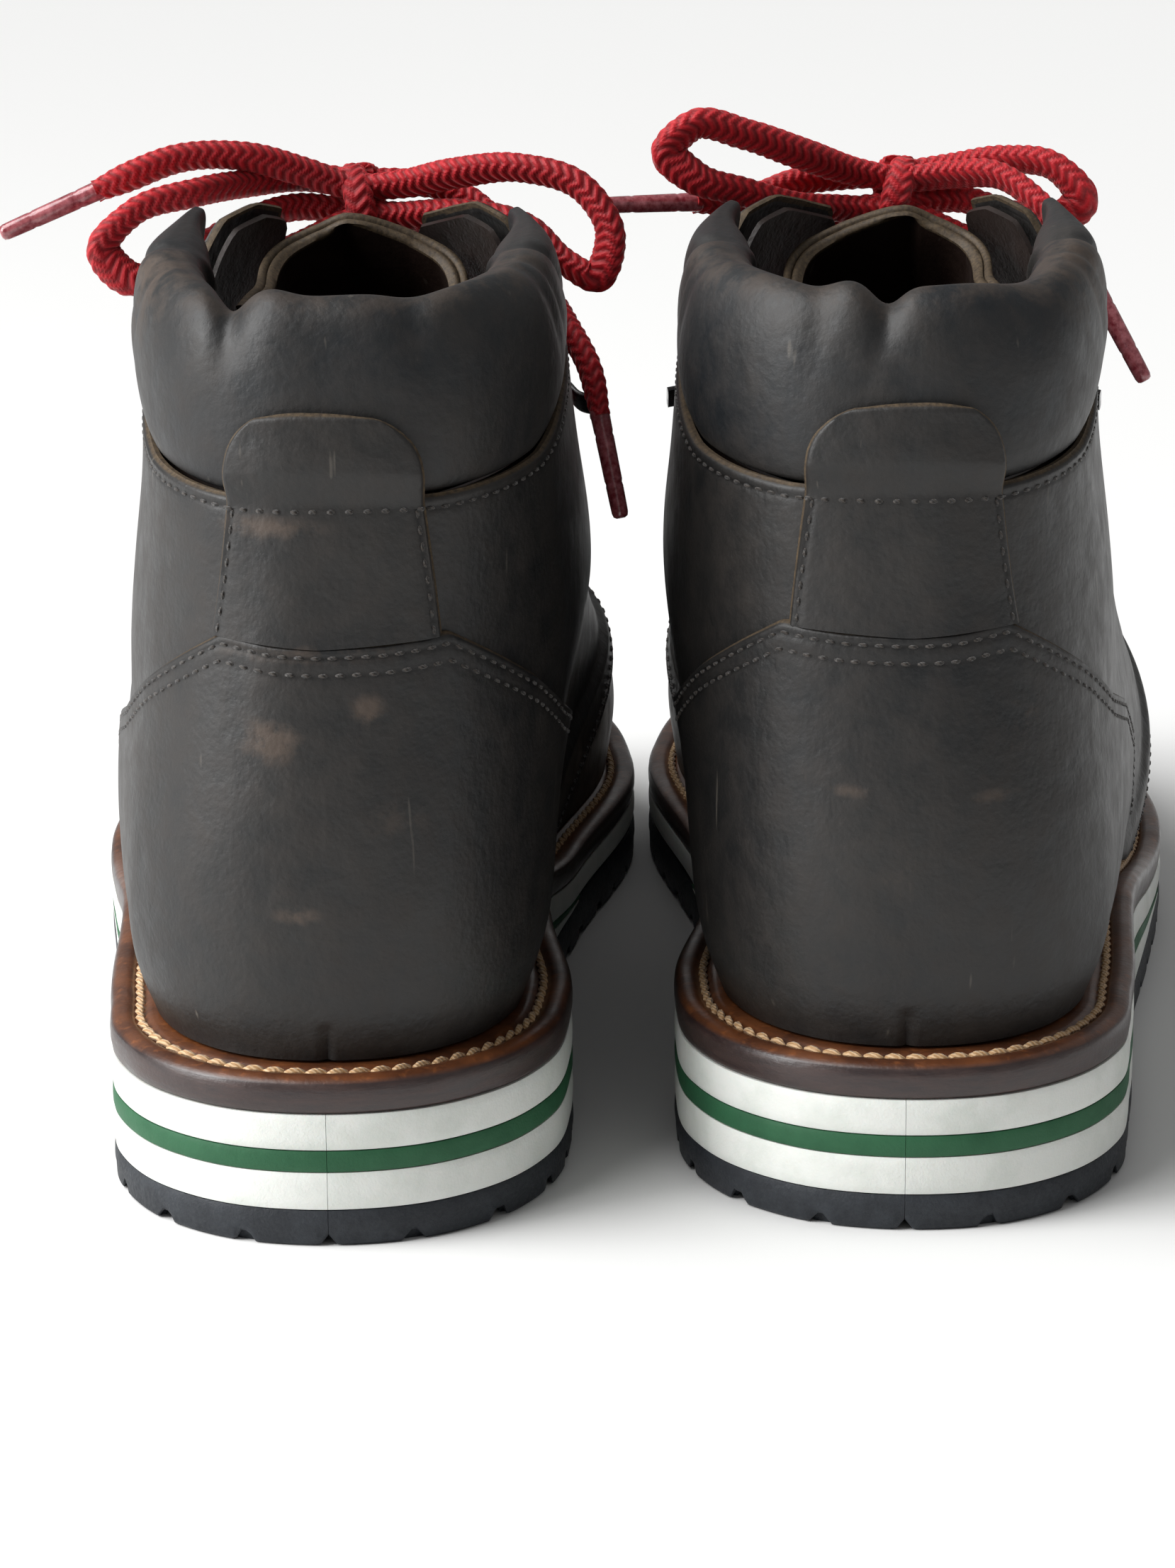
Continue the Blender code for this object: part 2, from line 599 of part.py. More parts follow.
def hardware_frame(side, v):
    """Where a ring or hook stands: base point on the leather, and the unit
    directions away from the gap, up the facing, and out of the leather."""
    edge = facing_u(side, v)[0]
    seat = LEATHER + HARDWARE_SEAT
    nudge = side * 0.02
    back = upper(edge - nudge, v, seat) - upper(edge, v, seat)
    setback = np.interp(v, RING_ROWS + HOOK_ROWS, HARDWARE_SETBACK[side])
    u = edge - nudge * setback / np.linalg.norm(back)
    here = upper(u, v, seat)
    out = upper(u, v, seat + 1) - here
    rise = upper(u, v + 0.01, seat) - here
    rise -= out * rise.dot(out)
    rise /= np.linalg.norm(rise)
    away = np.cross(rise, out)
    away *= np.sign(away.dot(back))
    return here, away, rise, out


def bent_strip(name, boot, side, v, profile, width, thick, closed):
    """A strip of sheet metal bent along a profile of (away, out) points."""
    here, away, rise, out = hardware_frame(side, v)
    profile = np.array(profile, float)
    if closed:
        along = np.roll(profile, -1, axis=0) - np.roll(profile, 1, axis=0)
    else:
        along = np.gradient(profile, axis=0)
    along /= np.linalg.norm(along, axis=1)[:, None]
    normal = np.stack([-along[:, 1], along[:, 0]], axis=1)
    sections = []
    for middle, turn in zip(profile, normal):
        ring = []
        for across_strip, through in ((-1, -1), (1, -1), (1, 1), (-1, 1)):
            spot = middle + turn * through * thick / 2
            ring.append(here + away * spot[0] + out * spot[1] + rise * across_strip * width / 2)
        sections.append(ring if np.dot(np.cross(away, out), rise) < 0 else ring[::-1])
    points, faces = swept(np.array(sections), closed=closed)
    return solid(name, boot, points, faces, "black_enamel")


def make_hardware(boot):
    """Two lace rings and two speed hooks up each facing."""
    ring = [(-5.2, 1.1), (5.2, 1.1), (6.2, 2.2), (5.8, 6.0), (3.6, 8.8), (0, 9.8), (-3.6, 8.8),
            (-5.8, 6.0), (-6.2, 2.2)]
    hook = [(6.5, 1.1), (-2.9, 1.1), (-5.2, 2.6), (-5.5, 5.2), (-3.8, 7.9), (0.0, 9.1),
            (4.0, 9.2), (6.4, 10.8)]
    for side, side_name in ((-1, "lateral"), (1, "medial")):
        for row, v in enumerate(RING_ROWS, 1):
            bent_strip(f"lace_ring_{side_name}_{row}", boot, side, v, ring, 2.2, 1.4, True)
        for row, v in enumerate(HOOK_ROWS, 1):
            bent_strip(f"speed_hook_{side_name}_{row}", boot, side, v, hook, 3.4, 1.4, False)


# ---- laces ----------------------------------------------------------------
LACE_RIDE = 5.3                  # a strand's middle above the leather in a ring
UNDER, OVER = 0.8, 8.2          # two crossing strands' middles above the gap
AGLET_LENGTH, AGLET_WIDTH = 20.0, 3.6

# The bow's hand-laid routes, plan frame in mm.  Each side starts where the
# strand leaves its top hook for the knot and ends where its aglet begins; the
# first one comes from the lateral hook and the second from the medial hook.
BOWS = {
    "left": (
        [(-31, -15, 130), (-20, -12, 140), (-9, -15, 145.5), (0, -17, 149.5), (10, -17.5, 150.5),
         (22, -22, 151.5), (33, -27, 149), (39, -29, 143.5), (44.5, -31, 141), (47.3, -32, 149),
         (42.5, -31, 157), (31, -28, 160.5), (19, -23, 159), (9, -18.5, 156.5), (0, -17, 156),
         (-9, -19, 159), (-20, -23.5, 162.5), (-31, -26.5, 162.5), (-40, -29, 159.5), (-46, -30, 157)],
        [(31, -14, 130), (24, -10, 142), (11, -10, 149), (0, -11.5, 150.5), (-10, -13, 151.8),
         (-22, -22, 149), (-32, -29, 144), (-40, -33, 141.5), (-44.5, -34, 147),
         (-39, -33, 153.5), (-28, -28.5, 156.5), (-18, -18.5, 157), (-9, -12.5, 157.2),
         (0, -11.5, 156), (9, -11, 156), (18, -11.5, 154.5), (28, -16.5, 147.5), (34.5, -26, 139.5),
         (39.5, -37, 133), (43.5, -43, 126), (45.3, -46, 118)],
    ),
    "right": (
        [(-31, -15, 130), (-20, -12, 140), (-9, -15, 145.5), (0, -17, 149.5), (10, -17.5, 150.5),
         (20, -22, 151.5), (30, -27, 155), (38.5, -30, 158), (43, -31, 162.8), (38.5, -31, 167.5),
         (29, -28.5, 165.5), (19, -24, 161.5), (9, -18.5, 157.5), (0, -17, 156), (-9, -18.5, 157),
         (-17, -23, 157.5), (-25, -29, 152.5), (-31, -33, 145), (-35, -35, 138)],
        [(31, -14, 130), (24, -10, 142), (11, -10, 149), (0, -11.3, 150.5), (-10, -12.5, 151.8),
         (-20, -16, 149.5), (-28, -20, 148.5), (-32.5, -22.5, 153), (-28, -21, 158.5),
         (-19, -16.5, 159.5), (-9, -12.5, 157.5), (0, -11.3, 156.2), (9, -11, 155.8), (20, -14, 155),
         (29, -19, 152.5), (38.5, -23, 152.5)],
    ),
}


def row_pass(side, v):
    """A strand's three points through a ring or hook, bottom to top."""
    here, away, rise, out = hardware_frame(side, v)
    middle = here + out * LACE_RIDE
    return [middle - rise * 4.8 - away * 4, middle + away * 0.6, middle + rise * 4.8 - away * 4]


def lacing(side):
    """One strand's climb from the bottom row to the top hook, starting on one
    side and crossing the gap after every row, over and under by turns."""
    rows = RING_ROWS + HOOK_ROWS
    points, goes_over = [], side > 0
    for k, v in enumerate(rows):
        points += row_pass(side, v)
        if k + 1 < len(rows):
            middle = (v + rows[k + 1]) / 2
            middle += 0.02 * (1 - smooth(0.5, 0.65, middle))
            points.append(upper(1.0, middle, OVER if goes_over else UNDER))
            side, goes_over = -side, not goes_over
    return points[1:-1] + [points[-1]]


def lace_route(boot):
    """The whole lace from its first aglet to its second: down one chain of
    crossings, straight over at the bottom row and up the other chain."""
    first, second = BOWS[boot]
    bar = [upper(1.0, RING_ROWS[0] + 0.004, 5.0)]
    return np.array(first[::-1] + lacing(1)[::-1] + bar + lacing(-1) + second)


def smooth_route(route, longest=13.0):
    """Points of a smooth curve through the route, close enough for a tube."""
    knots = arc_lengths(route)
    at = [0.0]
    for start, end in zip(knots[:-1], knots[1:]):
        parts = max(1, int(np.ceil((end - start) / longest)))
        at += list(start + (end - start) * np.arange(1, parts + 1) / parts)
    return hermite(knots, route, at)


def make_lace(boot):
    """The lace as one tube, and an aglet on each end."""
    points = smooth_route(lace_route(boot))
    curve = bpy.data.curves.new(f"{boot}_lace", "CURVE")
    curve.dimensions = "3D"
    curve.bevel_depth = LACE / 2 * MM
    curve.bevel_resolution = 2
    curve.use_fill_caps = True
    spline = curve.splines.new("POLY")
    spline.points.add(len(points) - 1)
    for spot, point in zip(spline.points, place(points, boot)):
        spot.co = (*point, 1.0)
    curve.materials.append(FINISHES["red_braid"])
    lace = bpy.data.objects.new(f"{boot}_lace", curve)
    bpy.context.scene.collection.objects.link(lace)
    make_aglet("aglet_1", boot, points[0], points[0] - points[1])
    make_aglet("aglet_2", boot, points[-1], points[-1] - points[-2])


def make_aglet(name, boot, end, along):
    """A round tube pushed over the lace's end, open ends closed flat."""
    along = along / np.linalg.norm(along)
    across_it = np.cross(along, (0, 0, 1.0))
    across_it /= np.linalg.norm(across_it)
    up = np.cross(across_it, along)
    turn = np.linspace(0, 2 * np.pi, 10, endpoint=False)[:, None]
    sections = []
    for walked, width in ((GAP + 0.1, 1.0), (AGLET_LENGTH * 0.5, 0.95), (AGLET_LENGTH, 0.8)):
        ring = np.cos(turn) * across_it - np.sin(turn) * up
        sections.append(end + along * walked + ring * AGLET_WIDTH / 2 * width)
    points, faces = swept(np.array(sections))
    return solid(name, boot, points, faces, "aglet_film")


def build_boot(boot):
    make_sole(boot)
    make_vamp(boot)
    make_quarter(boot, -1)
    make_quarter(boot, 1)
    make_counter(boot)
    make_patch(boot)
    make_pull_tab(boot)
    make_collar(boot)
    make_lining(boot)
    make_tongue(boot)
    make_hardware(boot)
    make_lace(boot)


def main():
    for thing in list(bpy.data.objects):
        bpy.data.objects.remove(thing, do_unlink=True)
    FINISHES.update(make_materials())
    for boot in SIDES:
        build_boot(boot)


main()
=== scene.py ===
"""A pair of lace-up leather hiking boots, finished around their fixed frame.

Each boot is worked out in its own plan frame in millimetres: x points to the
other boot, y to the toes, z up, with the heel at -y and the tread on z = 0.
place() turns that into the world in metres and mirrors it for the right boot.
The leather is a surface of two parameters: u runs round the boot (0 at the
heel's back, 1 or -1 at the toe) and v climbs from the welt to the top line.
"""

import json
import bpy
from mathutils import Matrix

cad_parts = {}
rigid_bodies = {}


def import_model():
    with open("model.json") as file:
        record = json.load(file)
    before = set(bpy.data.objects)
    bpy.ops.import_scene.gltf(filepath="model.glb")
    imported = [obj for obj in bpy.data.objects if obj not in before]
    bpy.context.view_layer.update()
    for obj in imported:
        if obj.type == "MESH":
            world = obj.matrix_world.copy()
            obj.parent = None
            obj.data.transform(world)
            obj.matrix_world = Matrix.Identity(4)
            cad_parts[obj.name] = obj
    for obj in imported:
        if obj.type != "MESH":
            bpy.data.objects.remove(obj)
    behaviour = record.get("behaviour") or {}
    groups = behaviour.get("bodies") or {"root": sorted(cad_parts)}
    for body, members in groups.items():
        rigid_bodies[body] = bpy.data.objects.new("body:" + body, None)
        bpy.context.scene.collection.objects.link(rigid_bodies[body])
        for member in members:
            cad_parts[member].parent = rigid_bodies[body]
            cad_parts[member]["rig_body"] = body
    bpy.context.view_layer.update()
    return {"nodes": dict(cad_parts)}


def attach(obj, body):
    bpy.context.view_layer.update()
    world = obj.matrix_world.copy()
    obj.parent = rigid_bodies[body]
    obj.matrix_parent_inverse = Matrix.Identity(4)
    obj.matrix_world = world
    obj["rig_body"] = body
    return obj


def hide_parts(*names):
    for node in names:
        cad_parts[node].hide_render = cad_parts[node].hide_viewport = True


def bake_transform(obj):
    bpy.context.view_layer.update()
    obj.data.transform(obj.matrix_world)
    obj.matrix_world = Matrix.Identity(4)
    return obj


bl_info = {
    "name": "Hiking Boot Workshop",
    "version": (1, 0, 0),
    "blender": (4, 5, 0),
    "location": "View3D > Sidebar > Boots",
    "description": "Lasts, stitches and laces a pair of leather hiking boots",
    "category": "Object",
}

import bpy
import numpy as np
from mathutils import Matrix, Vector

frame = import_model()

MM = 0.001
SIDES = {"left": 1, "right": -1}
FLANKS = {"lateral": -1, "medial": 1}

# ---- driving dimensions of the design, mm and radians -----------------------
SOLE_LENGTH = 304.0
HEEL_WIDTH = 79.0
HEEL_LENGTH = 47.3            # from the back of the heel to its widest point
BALL_MEDIAL, BALL_MEDIAL_Y = 51.3, 90.0
BALL_LATERAL, BALL_LATERAL_Y = 54.7, 36.9
BOOT_SPACING = 102.5          # between the two boots' plan origins
BOOT_STAGGER = 7.2            # the right boot stands this much further forward
SPLAY = {"left": 0.018, "right": 0.034}
FEATHER_INSET = 7.5           # the upper's foot, in from the sole's edge
HEEL_PINCH = 0.90
HEEL_LEVELS = dict(tread=6.3, lower=12.8, stripe=16.5, upper=22.7, welt=28.6)
FRONT_LEVELS = dict(tread=8.5, lower=8.9, stripe=9.3, upper=14.0, welt=19.0)
WEDGE_START, WEDGE_END = -55.0, 22.0
SPRING_START, SPRING = 70.0, 10.0


# ---- curves -----------------------------------------------------------------
def hermite(knots, values, at):
    """Cubic Hermite pieces through (knots, values), slopes by differences."""
    knots = np.asarray(knots, float)
    values = np.asarray(values, float)
    at = np.clip(np.asarray(at, float), knots[0], knots[-1])
    slopes = np.gradient(values, knots, axis=0)
    i = np.clip(np.searchsorted(knots, at) - 1, 0, len(knots) - 2)
    step = knots[i + 1] - knots[i]
    t = (at - knots[i]) / step
    if values.ndim > 1:
        t, step = t[..., None], step[..., None]
    return ((2 * t**3 - 3 * t**2 + 1) * values[i] + (t**3 - 2 * t**2 + t) * step * slopes[i]
            + (3 * t**2 - 2 * t**3) * values[i + 1] + (t**3 - t**2) * step * slopes[i + 1])


def arc_lengths(points):
    """Running chord length along the points, from 0."""
    steps = np.linalg.norm(np.diff(points, axis=0), axis=-1)
    return np.concatenate([np.zeros_like(steps[:1]), np.cumsum(steps, axis=0)])


def smooth(low, high, value):
    """0 below low, 1 above high, eased between."""
    t = np.clip((np.asarray(value, float) - low) / (high - low), 0, 1)
    return t * t * (3 - 2 * t)


def bump(value, centre, width):
    """A bell of height 1 at the centre."""
    return np.exp(-((np.asarray(value, float) - centre) / width) ** 2)


def unit(vectors):
    """The vectors at length 1."""
    return vectors / np.linalg.norm(vectors, axis=-1, keepdims=True)


def resample(points, count):
    """Points at even distances along a chain of points."""
    points = np.asarray(points, float)
    walked = arc_lengths(points)
    at = np.linspace(0, walked[-1], count)
    return np.stack([np.interp(at, walked, column) for column in points.T], axis=1)


# ---- the sole's outline -----------------------------------------------------
def sole_outline():
    """Closed plan curve of the sole from the toe tip over the lateral side to
    the heel and back: a superellipse heel and Hermite pieces for the rest."""
    half, power = HEEL_WIDTH / 2, 2 / 2.15
    back = -SOLE_LENGTH / 2
    angles = np.linspace(-np.pi / 2, np.pi / 2, 9)
    heel = [(half * np.sign(np.sin(a)) * abs(np.sin(a)) ** power,
             back + HEEL_LENGTH - HEEL_LENGTH * abs(np.cos(a)) ** power) for a in angles]
    medial = [(36, -62), (34, -25), (40, 15), (BALL_MEDIAL, BALL_MEDIAL_Y),
              (BALL_MEDIAL - 5, BALL_MEDIAL_Y + 26), (32, 138)]
    toe = [(7, SOLE_LENGTH / 2)]
    lateral = [(-BALL_LATERAL, BALL_LATERAL_Y), (-BALL_LATERAL + 5, BALL_LATERAL_Y - 45),
               (-44, -45)]
    outer_toe = [(-20, 146), (-44, 118), (-BALL_LATERAL + 3, BALL_LATERAL_Y + 40)]
    loop = toe + outer_toe + lateral + heel + medial
    around = np.array(loop[-3:] + loop + loop[:4])
    knots = arc_lengths(around)
    return hermite(knots, around, np.linspace(knots[3], knots[3 + len(loop)], 721)[:-1])


OUTLINE = sole_outline()


def inset_outline(inset):
    """The outline moved in by inset along its own normals."""
    along = unit(np.roll(OUTLINE, -1, axis=0) - np.roll(OUTLINE, 1, axis=0))
    return OUTLINE + inset * np.stack([-along[:, 1], along[:, 0]], axis=1)


def halves(inset):
    """The lateral and medial halves, each from the heel's back to the toe."""
    loop = inset_outline(inset)
    toe, heel = loop[:, 1].argmax(), loop[:, 1].argmin()
    loop = np.roll(loop, -toe, axis=0)
    heel = (heel - toe) % len(loop)
    return loop[:heel + 1][::-1], np.concatenate([loop[heel:], loop[:1]])


def level(name, y):
    """Height of the top of a sole layer at y: a wedge that thins to the
    forefoot, with the toe sprung up as a parabola."""
    y = np.asarray(y, float)
    lift = SPRING * np.clip((y - SPRING_START) / (SOLE_LENGTH / 2 - SPRING_START), 0, 1) ** 2
    if name == "ground":
        return lift
    front = smooth(WEDGE_START, WEDGE_END, y)
    return HEEL_LEVELS[name] * (1 - front) + FRONT_LEVELS[name] * front + lift


# ---- the upper's surface ----------------------------------------------------
# Rings climb from the feather line, v = 0, to the top line, v = 1.  Each lies
# near a plane through its back point and its front point, given as (y, z).
RING_V = np.linspace(0, 1, 11)
RING_BACK = [(-140.5, 28.9), (-143.5, 40), (-144.5, 52), (-144, 65), (-142.5, 78), (-140.5, 91),
             (-138.5, 104), (-137, 117), (-135.5, 129), (-134, 141), (-130.5, 153)]
RING_FRONT = [(145, 29), (147.5, 43), (136, 55), (113, 64), (84, 73), (52, 85),
              (24, 101), (2, 118), (-14, 135), (-25, 149), (-32, 159)]
RING_MEDIAL = [37, 38.5, 39.5, 40.5, 41.2, 40.3, 38.7, 37.4, 35.8, 34.4, 32.3]
RING_LATERAL = [36.5, 38.5, 39.5, 39.5, 38.5, 38, 36.7, 34.8, 33.8, 33.3, 31.3]
RING_SHIFT = [0, 0, 0.5, 1, 1.5, 2, 2.5, 2.5, 2.5, 2.5, 2.5]
RING_OVAL = [0, 0.06, 0.22, 0.48, 0.74, 0.92, 1, 1, 1, 1, 1]
HEEL_SWELL = [1, 1.13, 1.18, 1.19, 1.16, 1.1, 1, 1, 1, 1, 1]
TOE_SWELL = [1, 1.06, 1.055, 1.03, 1, 1, 1, 1, 1, 1, 1]
OVAL_POWER = 2.25
WIDEST = 0.47
FEATHER_LIFT = 0.6


def half_tables():
    """For u from -1 (toe, lateral way) over 0 (heel) to 1 (toe, medial way):
    x of the feather outline and the fraction s of its length from the heel."""
    lateral, medial = halves(FEATHER_INSET)
    loop = np.concatenate([lateral[::-1], medial[1:]])
    loop[:, 0] *= HEEL_PINCH + (1 - HEEL_PINCH) * smooth(-95, -30, loop[:, 1])
    walked = np.concatenate([-arc_lengths(lateral)[::-1] / arc_lengths(lateral)[-1],
                             arc_lengths(medial)[1:] / arc_lengths(medial)[-1]])
    low, high = loop[:, 1].min(), loop[:, 1].max()
    return walked, loop[:, 0], (loop[:, 1] - low) / (high - low)


WALKED, FEATHER_X, FEATHER_S = half_tables()


def bare_upper(u, v):
    """The upper's surface.  x blends the feather outline into an oval while v
    climbs; y and z run along the ring's line from its back to its front."""
    u, v = np.broadcast_arrays(np.asarray(u, float), np.asarray(v, float))
    u = (u + 1) % 2 - 1
    s = np.interp(u, WALKED, FEATHER_S)
    back = hermite(RING_V, RING_BACK, v)
    front = hermite(RING_V, RING_FRONT, v)
    y = back[..., 0] + (front[..., 0] - back[..., 0]) * s
    z = back[..., 1] + (front[..., 1] - back[..., 1]) * s
    skew = s ** (np.log(0.5) / np.log(WIDEST))
    oval = np.maximum(1 - np.abs(2 * skew - 1) ** OVAL_POWER, 0) ** (1 / OVAL_POWER)
    wide = np.where(u < 0, -hermite(RING_V, RING_LATERAL, v), hermite(RING_V, RING_MEDIAL, v))
    oval_x = wide * oval + hermite(RING_V, RING_SHIFT, v) * np.minimum(1, 3 * oval)
    share = hermite(RING_V, RING_OVAL, v)
    toward_toe = smooth(0.2, 0.5, s)
    swell = (hermite(RING_V, HEEL_SWELL, v) * (1 - toward_toe)
             + hermite(RING_V, TOE_SWELL, v) * toward_toe)
    x = (1 - share) * np.interp(u, WALKED, FEATHER_X) * swell + share * oval_x
    feather_z = RING_BACK[0][1] + (RING_FRONT[0][1] - RING_BACK[0][1]) * s
    z = z + (level("welt", y) + FEATHER_LIFT - feather_z) * (1 - smooth(0, 0.4, v))
    return np.stack([x, y, z], axis=-1)


def upper(u, v, out=0.0):
    """A point of the upper's surface, moved out along its normal, which is the
    cross product of the steps along u and up v."""
    u, v = np.broadcast_arrays(np.asarray(u, float), np.asarray(v, float))
    step = 0.004
    along = bare_upper(u + step, v) - bare_upper(u - step, v)
    up = bare_upper(u, np.clip(v + step, 0, 1)) - bare_upper(u, np.clip(v - step, 0, 1))
    normal = np.cross(along, up)
    normal[..., 2] *= smooth(0, 0.12, v)
    return bare_upper(u, v) + np.asarray(out)[..., None] * unit(normal)


def u_at(side, y, v):
    """The u at which ring v passes y on that side, -1 lateral or 1 medial."""
    back, front = hermite(RING_V, RING_BACK, v), hermite(RING_V, RING_FRONT, v)
    s = np.clip((y - back[..., 0]) / (front[..., 0] - back[..., 0]), 0, 1)
    on_side = WALKED * side >= 0
    order = np.argsort(FEATHER_S[on_side])
    return np.interp(s, FEATHER_S[on_side][order], WALKED[on_side][order])


def uv(side, y, z):
    """The (u, v) of the side point at y and z."""
    v = np.linspace(0, 1, 401)
    u = u_at(side, np.full_like(v, y), v)
    found = np.interp(z, bare_upper(u, v)[:, 2], v)
    return float(u_at(side, y, np.array(found))), float(found)


THROAT_V = 0.40
FACING_V = [THROAT_V, 0.5, 0.6, 0.7, 0.85, 1.0]
HARDWARE_HALF_GAP = [12, 15, 18.5, 21.5, 25, 27]     # the line that rings and hooks keep to
EDGE_HALF_GAP = [12, 15, 18, 18.5, 14.5, 11.5]       # the facing's own cut edge


def facing_u(side, v, half_gap):
    """The u of a line up the facing at half_gap millimetres from the middle."""
    v = np.atleast_1d(np.asarray(v, float))
    reach = hermite(FACING_V, half_gap, v)
    u = np.linspace(0.55, 1, 400) * side
    found = [np.interp(-gap, -np.abs(bare_upper(u, height)[:, 0]), np.abs(u))
             for gap, height in zip(reach, v)]
    return side * np.array(found)


# ---- from plan frame to finished piece --------------------------------------
def place(points, boot):
    """Plan frame in millimetres to the world in metres for one boot."""
    mirror, turn = SIDES[boot], SPLAY[boot]
    points = np.asarray(points, float)
    x = points[..., 0] * np.cos(turn) - points[..., 1] * np.sin(turn) - BOOT_SPACING / 2
    y = points[..., 0] * np.sin(turn) + points[..., 1] * np.cos(turn) - mirror * BOOT_STAGGER / 2
    return np.stack([x * mirror, y, points[..., 2]], axis=-1) * MM


def unplace(points, boot):
    """The inverse of place."""
    mirror, turn = SIDES[boot], SPLAY[boot]
    points = np.asarray(points, float) / MM
    x = points[..., 0] * mirror + BOOT_SPACING / 2
    y = points[..., 1] + mirror * BOOT_STAGGER / 2
    return np.stack([x * np.cos(turn) + y * np.sin(turn), y * np.cos(turn) - x * np.sin(turn),
                     points[..., 2]], axis=-1)


def grid_quads(rows, columns, wrap_rows=False, wrap_columns=False):
    """Quads of a grid numbered row by row, as (n, 4)."""
    i = np.arange(rows if wrap_rows else rows - 1)[:, None]
    j = np.arange(columns if wrap_columns else columns - 1)[None]
    i2, j2 = (i + 1) % rows, (j + 1) % columns
    corners = [i * columns + j, i * columns + j2, i2 * columns + j2, i2 * columns + j]
    return np.stack([c.ravel() for c in np.broadcast_arrays(*corners)], axis=1)


def shell(outer, inner):
    """Closed solid between two grids of points with the same layout."""
    rows, columns = outer.shape[:2]
    count = rows * columns
    faces = grid_quads(rows, columns)
    grid = np.arange(count).reshape(rows, columns)
    rim = np.concatenate([grid[0, :], grid[1:, -1], grid[-1, -2::-1], grid[-2:0:-1, 0]])
    after = np.roll(rim, -1)
    wall = np.stack([after, rim, rim + count, after + count], axis=1)
    points = np.concatenate([outer.reshape(-1, 3), inner.reshape(-1, 3)])
    return points, np.concatenate([faces, faces[:, ::-1] + count, wall])


def swept(sections, closed=False):
    """Closed solid through sections (n, ring, 3): tubes of quads, and on an
    open run a fan of triangles to the middle of each end."""
    sections = np.asarray(sections, float)
    count, ring = sections.shape[:2]
    points = sections.reshape(-1, 3)
    quads = grid_quads(count, ring, wrap_rows=closed, wrap_columns=True)
    if closed:
        return points, quads, None
    ends = np.stack([sections[0].mean(0), sections[-1].mean(0)])
    k = np.arange(ring)
    after = (k + 1) % ring
    first = np.stack([after, k, np.full(ring, count * ring)], axis=1)
    last = np.stack([k, after, np.full(ring, count * ring + 1)], axis=1)
    last[:, :2] += (count - 1) * ring
    return np.concatenate([points, ends]), quads, np.concatenate([first, last])


def gather(parts):
    """Several (points, quads, tris) as one."""
    points, quads, tris, start = [], [], [], 0
    for one, fours, threes in parts:
        points.append(one)
        quads.append(fours + start)
        if threes is not None:
            tris.append(threes + start)
        start += len(one)
    return np.concatenate(points), np.concatenate(quads), np.concatenate(tris) if tris else None


# Brown rubs on the back: plan x and height of the middle, half sizes, strength.
RUBS = {"left": [(-8, 83, 4.5, 3.2, 1.0), (8, 88, 2.6, 2.4, 0.8), (-4, 55, 3.4, 1.5, 0.8),
                 (-8, 117, 9, 2.0, 0.6), (-2, 97, 15, 1.6, 0.5), (12, 70, 7, 6, 0.25)],
        "right": [(-14, 72, 5, 1.2, 0.45), (10, 73, 4, 1.2, 0.45), (-18, 84, 3, 4, 0.4)]}


def rubbed(points, boot):
    """How rubbed each point of the upper's back is, 0 to 1."""
    x, y, z = points.T
    marks = sum(strength * bump(x, at_x, wide) * bump(z, at_z, tall)
                for at_x, at_z, wide, tall, strength in RUBS[boot])
    crown = 0.35 * smooth(146, 154, z) + 0.4 * smooth(-20, -34, x) * smooth(132, 150, z)
    return (marks + crown) * (y < -90)


def finished(name, boot, points, quads, tris=None, look="", slot="", nodes=(), body="boot",
             fields=None, unwrap=None):
    """Puts a piece on a boot: the mesh from whole arrays, its point fields, UV
    map and material, the body it rides on and the nodes it stands for."""
    if boot == "right":
        quads = quads[:, ::-1]
        tris = tris if tris is None else tris[:, ::-1]
    corners, starts = quads.ravel(), np.arange(0, quads.size, 4)
    if tris is not None:
        starts = np.concatenate([starts, quads.size + np.arange(0, tris.size, 3)])
        corners = np.concatenate([corners, tris.ravel()])
    mesh = bpy.data.meshes.new(f"{boot}_{name}_mesh")
    mesh.vertices.add(len(points))
    mesh.vertices.foreach_set("co", place(points, boot).astype(np.float32).ravel())
    mesh.loops.add(len(corners))
    mesh.loops.foreach_set("vertex_index", corners.astype(np.int32))
    mesh.polygons.add(len(starts))
    mesh.polygons.foreach_set("loop_start", starts.astype(np.int32))
    mesh.update(calc_edges=True)
    fields = dict(fields or {})
    if look in ("oiled_leather", "collar_leather"):
        fields["rubbed"] = rubbed(points, boot)
    for field, values in fields.items():
        layer = mesh.attributes.new(field, "FLOAT", "POINT")
        layer.data.foreach_set("value", np.asarray(values, np.float32).ravel())
    if unwrap is not None:
        layer = mesh.uv_layers.new(name="UVMap")
        layer.data.foreach_set("uv", np.asarray(unwrap, np.float32)[corners].ravel())
    mesh.materials.append(LOOKS[look])
    mesh.shade_smooth()
    mesh.set_sharp_from_angle(angle=0.9)
    piece = bpy.data.objects.new(f"{boot}_{name}", mesh)
    bpy.context.scene.collection.objects.link(piece)
    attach(piece, f"{boot}_{body}")
    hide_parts(*[f"{boot}_{node}" for node in nodes])
    return piece


# ---- sole -------------------------------------------------------------------
SOLE_STATIONS = 420


def sole_lines(inset, front=None, count=SOLE_STATIONS):
    """The lateral and medial edge points of an inset outline at even steps,
    from just beside the heel's back to just beside the toe, or to y = front."""
    lines = []
    for half in halves(inset):
        if front is not None:
            cut = half[half[:, 1] <= front]
            half = np.concatenate([cut, [[np.interp(front, half[:, 1], half[:, 0]), front]]])
        walked = arc_lengths(half)
        at = (np.arange(count) + 0.5) / count * walked[-1]
        at[0] = 0.04
        if front is not None:
            at[-1] = walked[-1]
        lines.append(np.stack([np.interp(at, walked, column) for column in half.T], axis=1))
    return lines


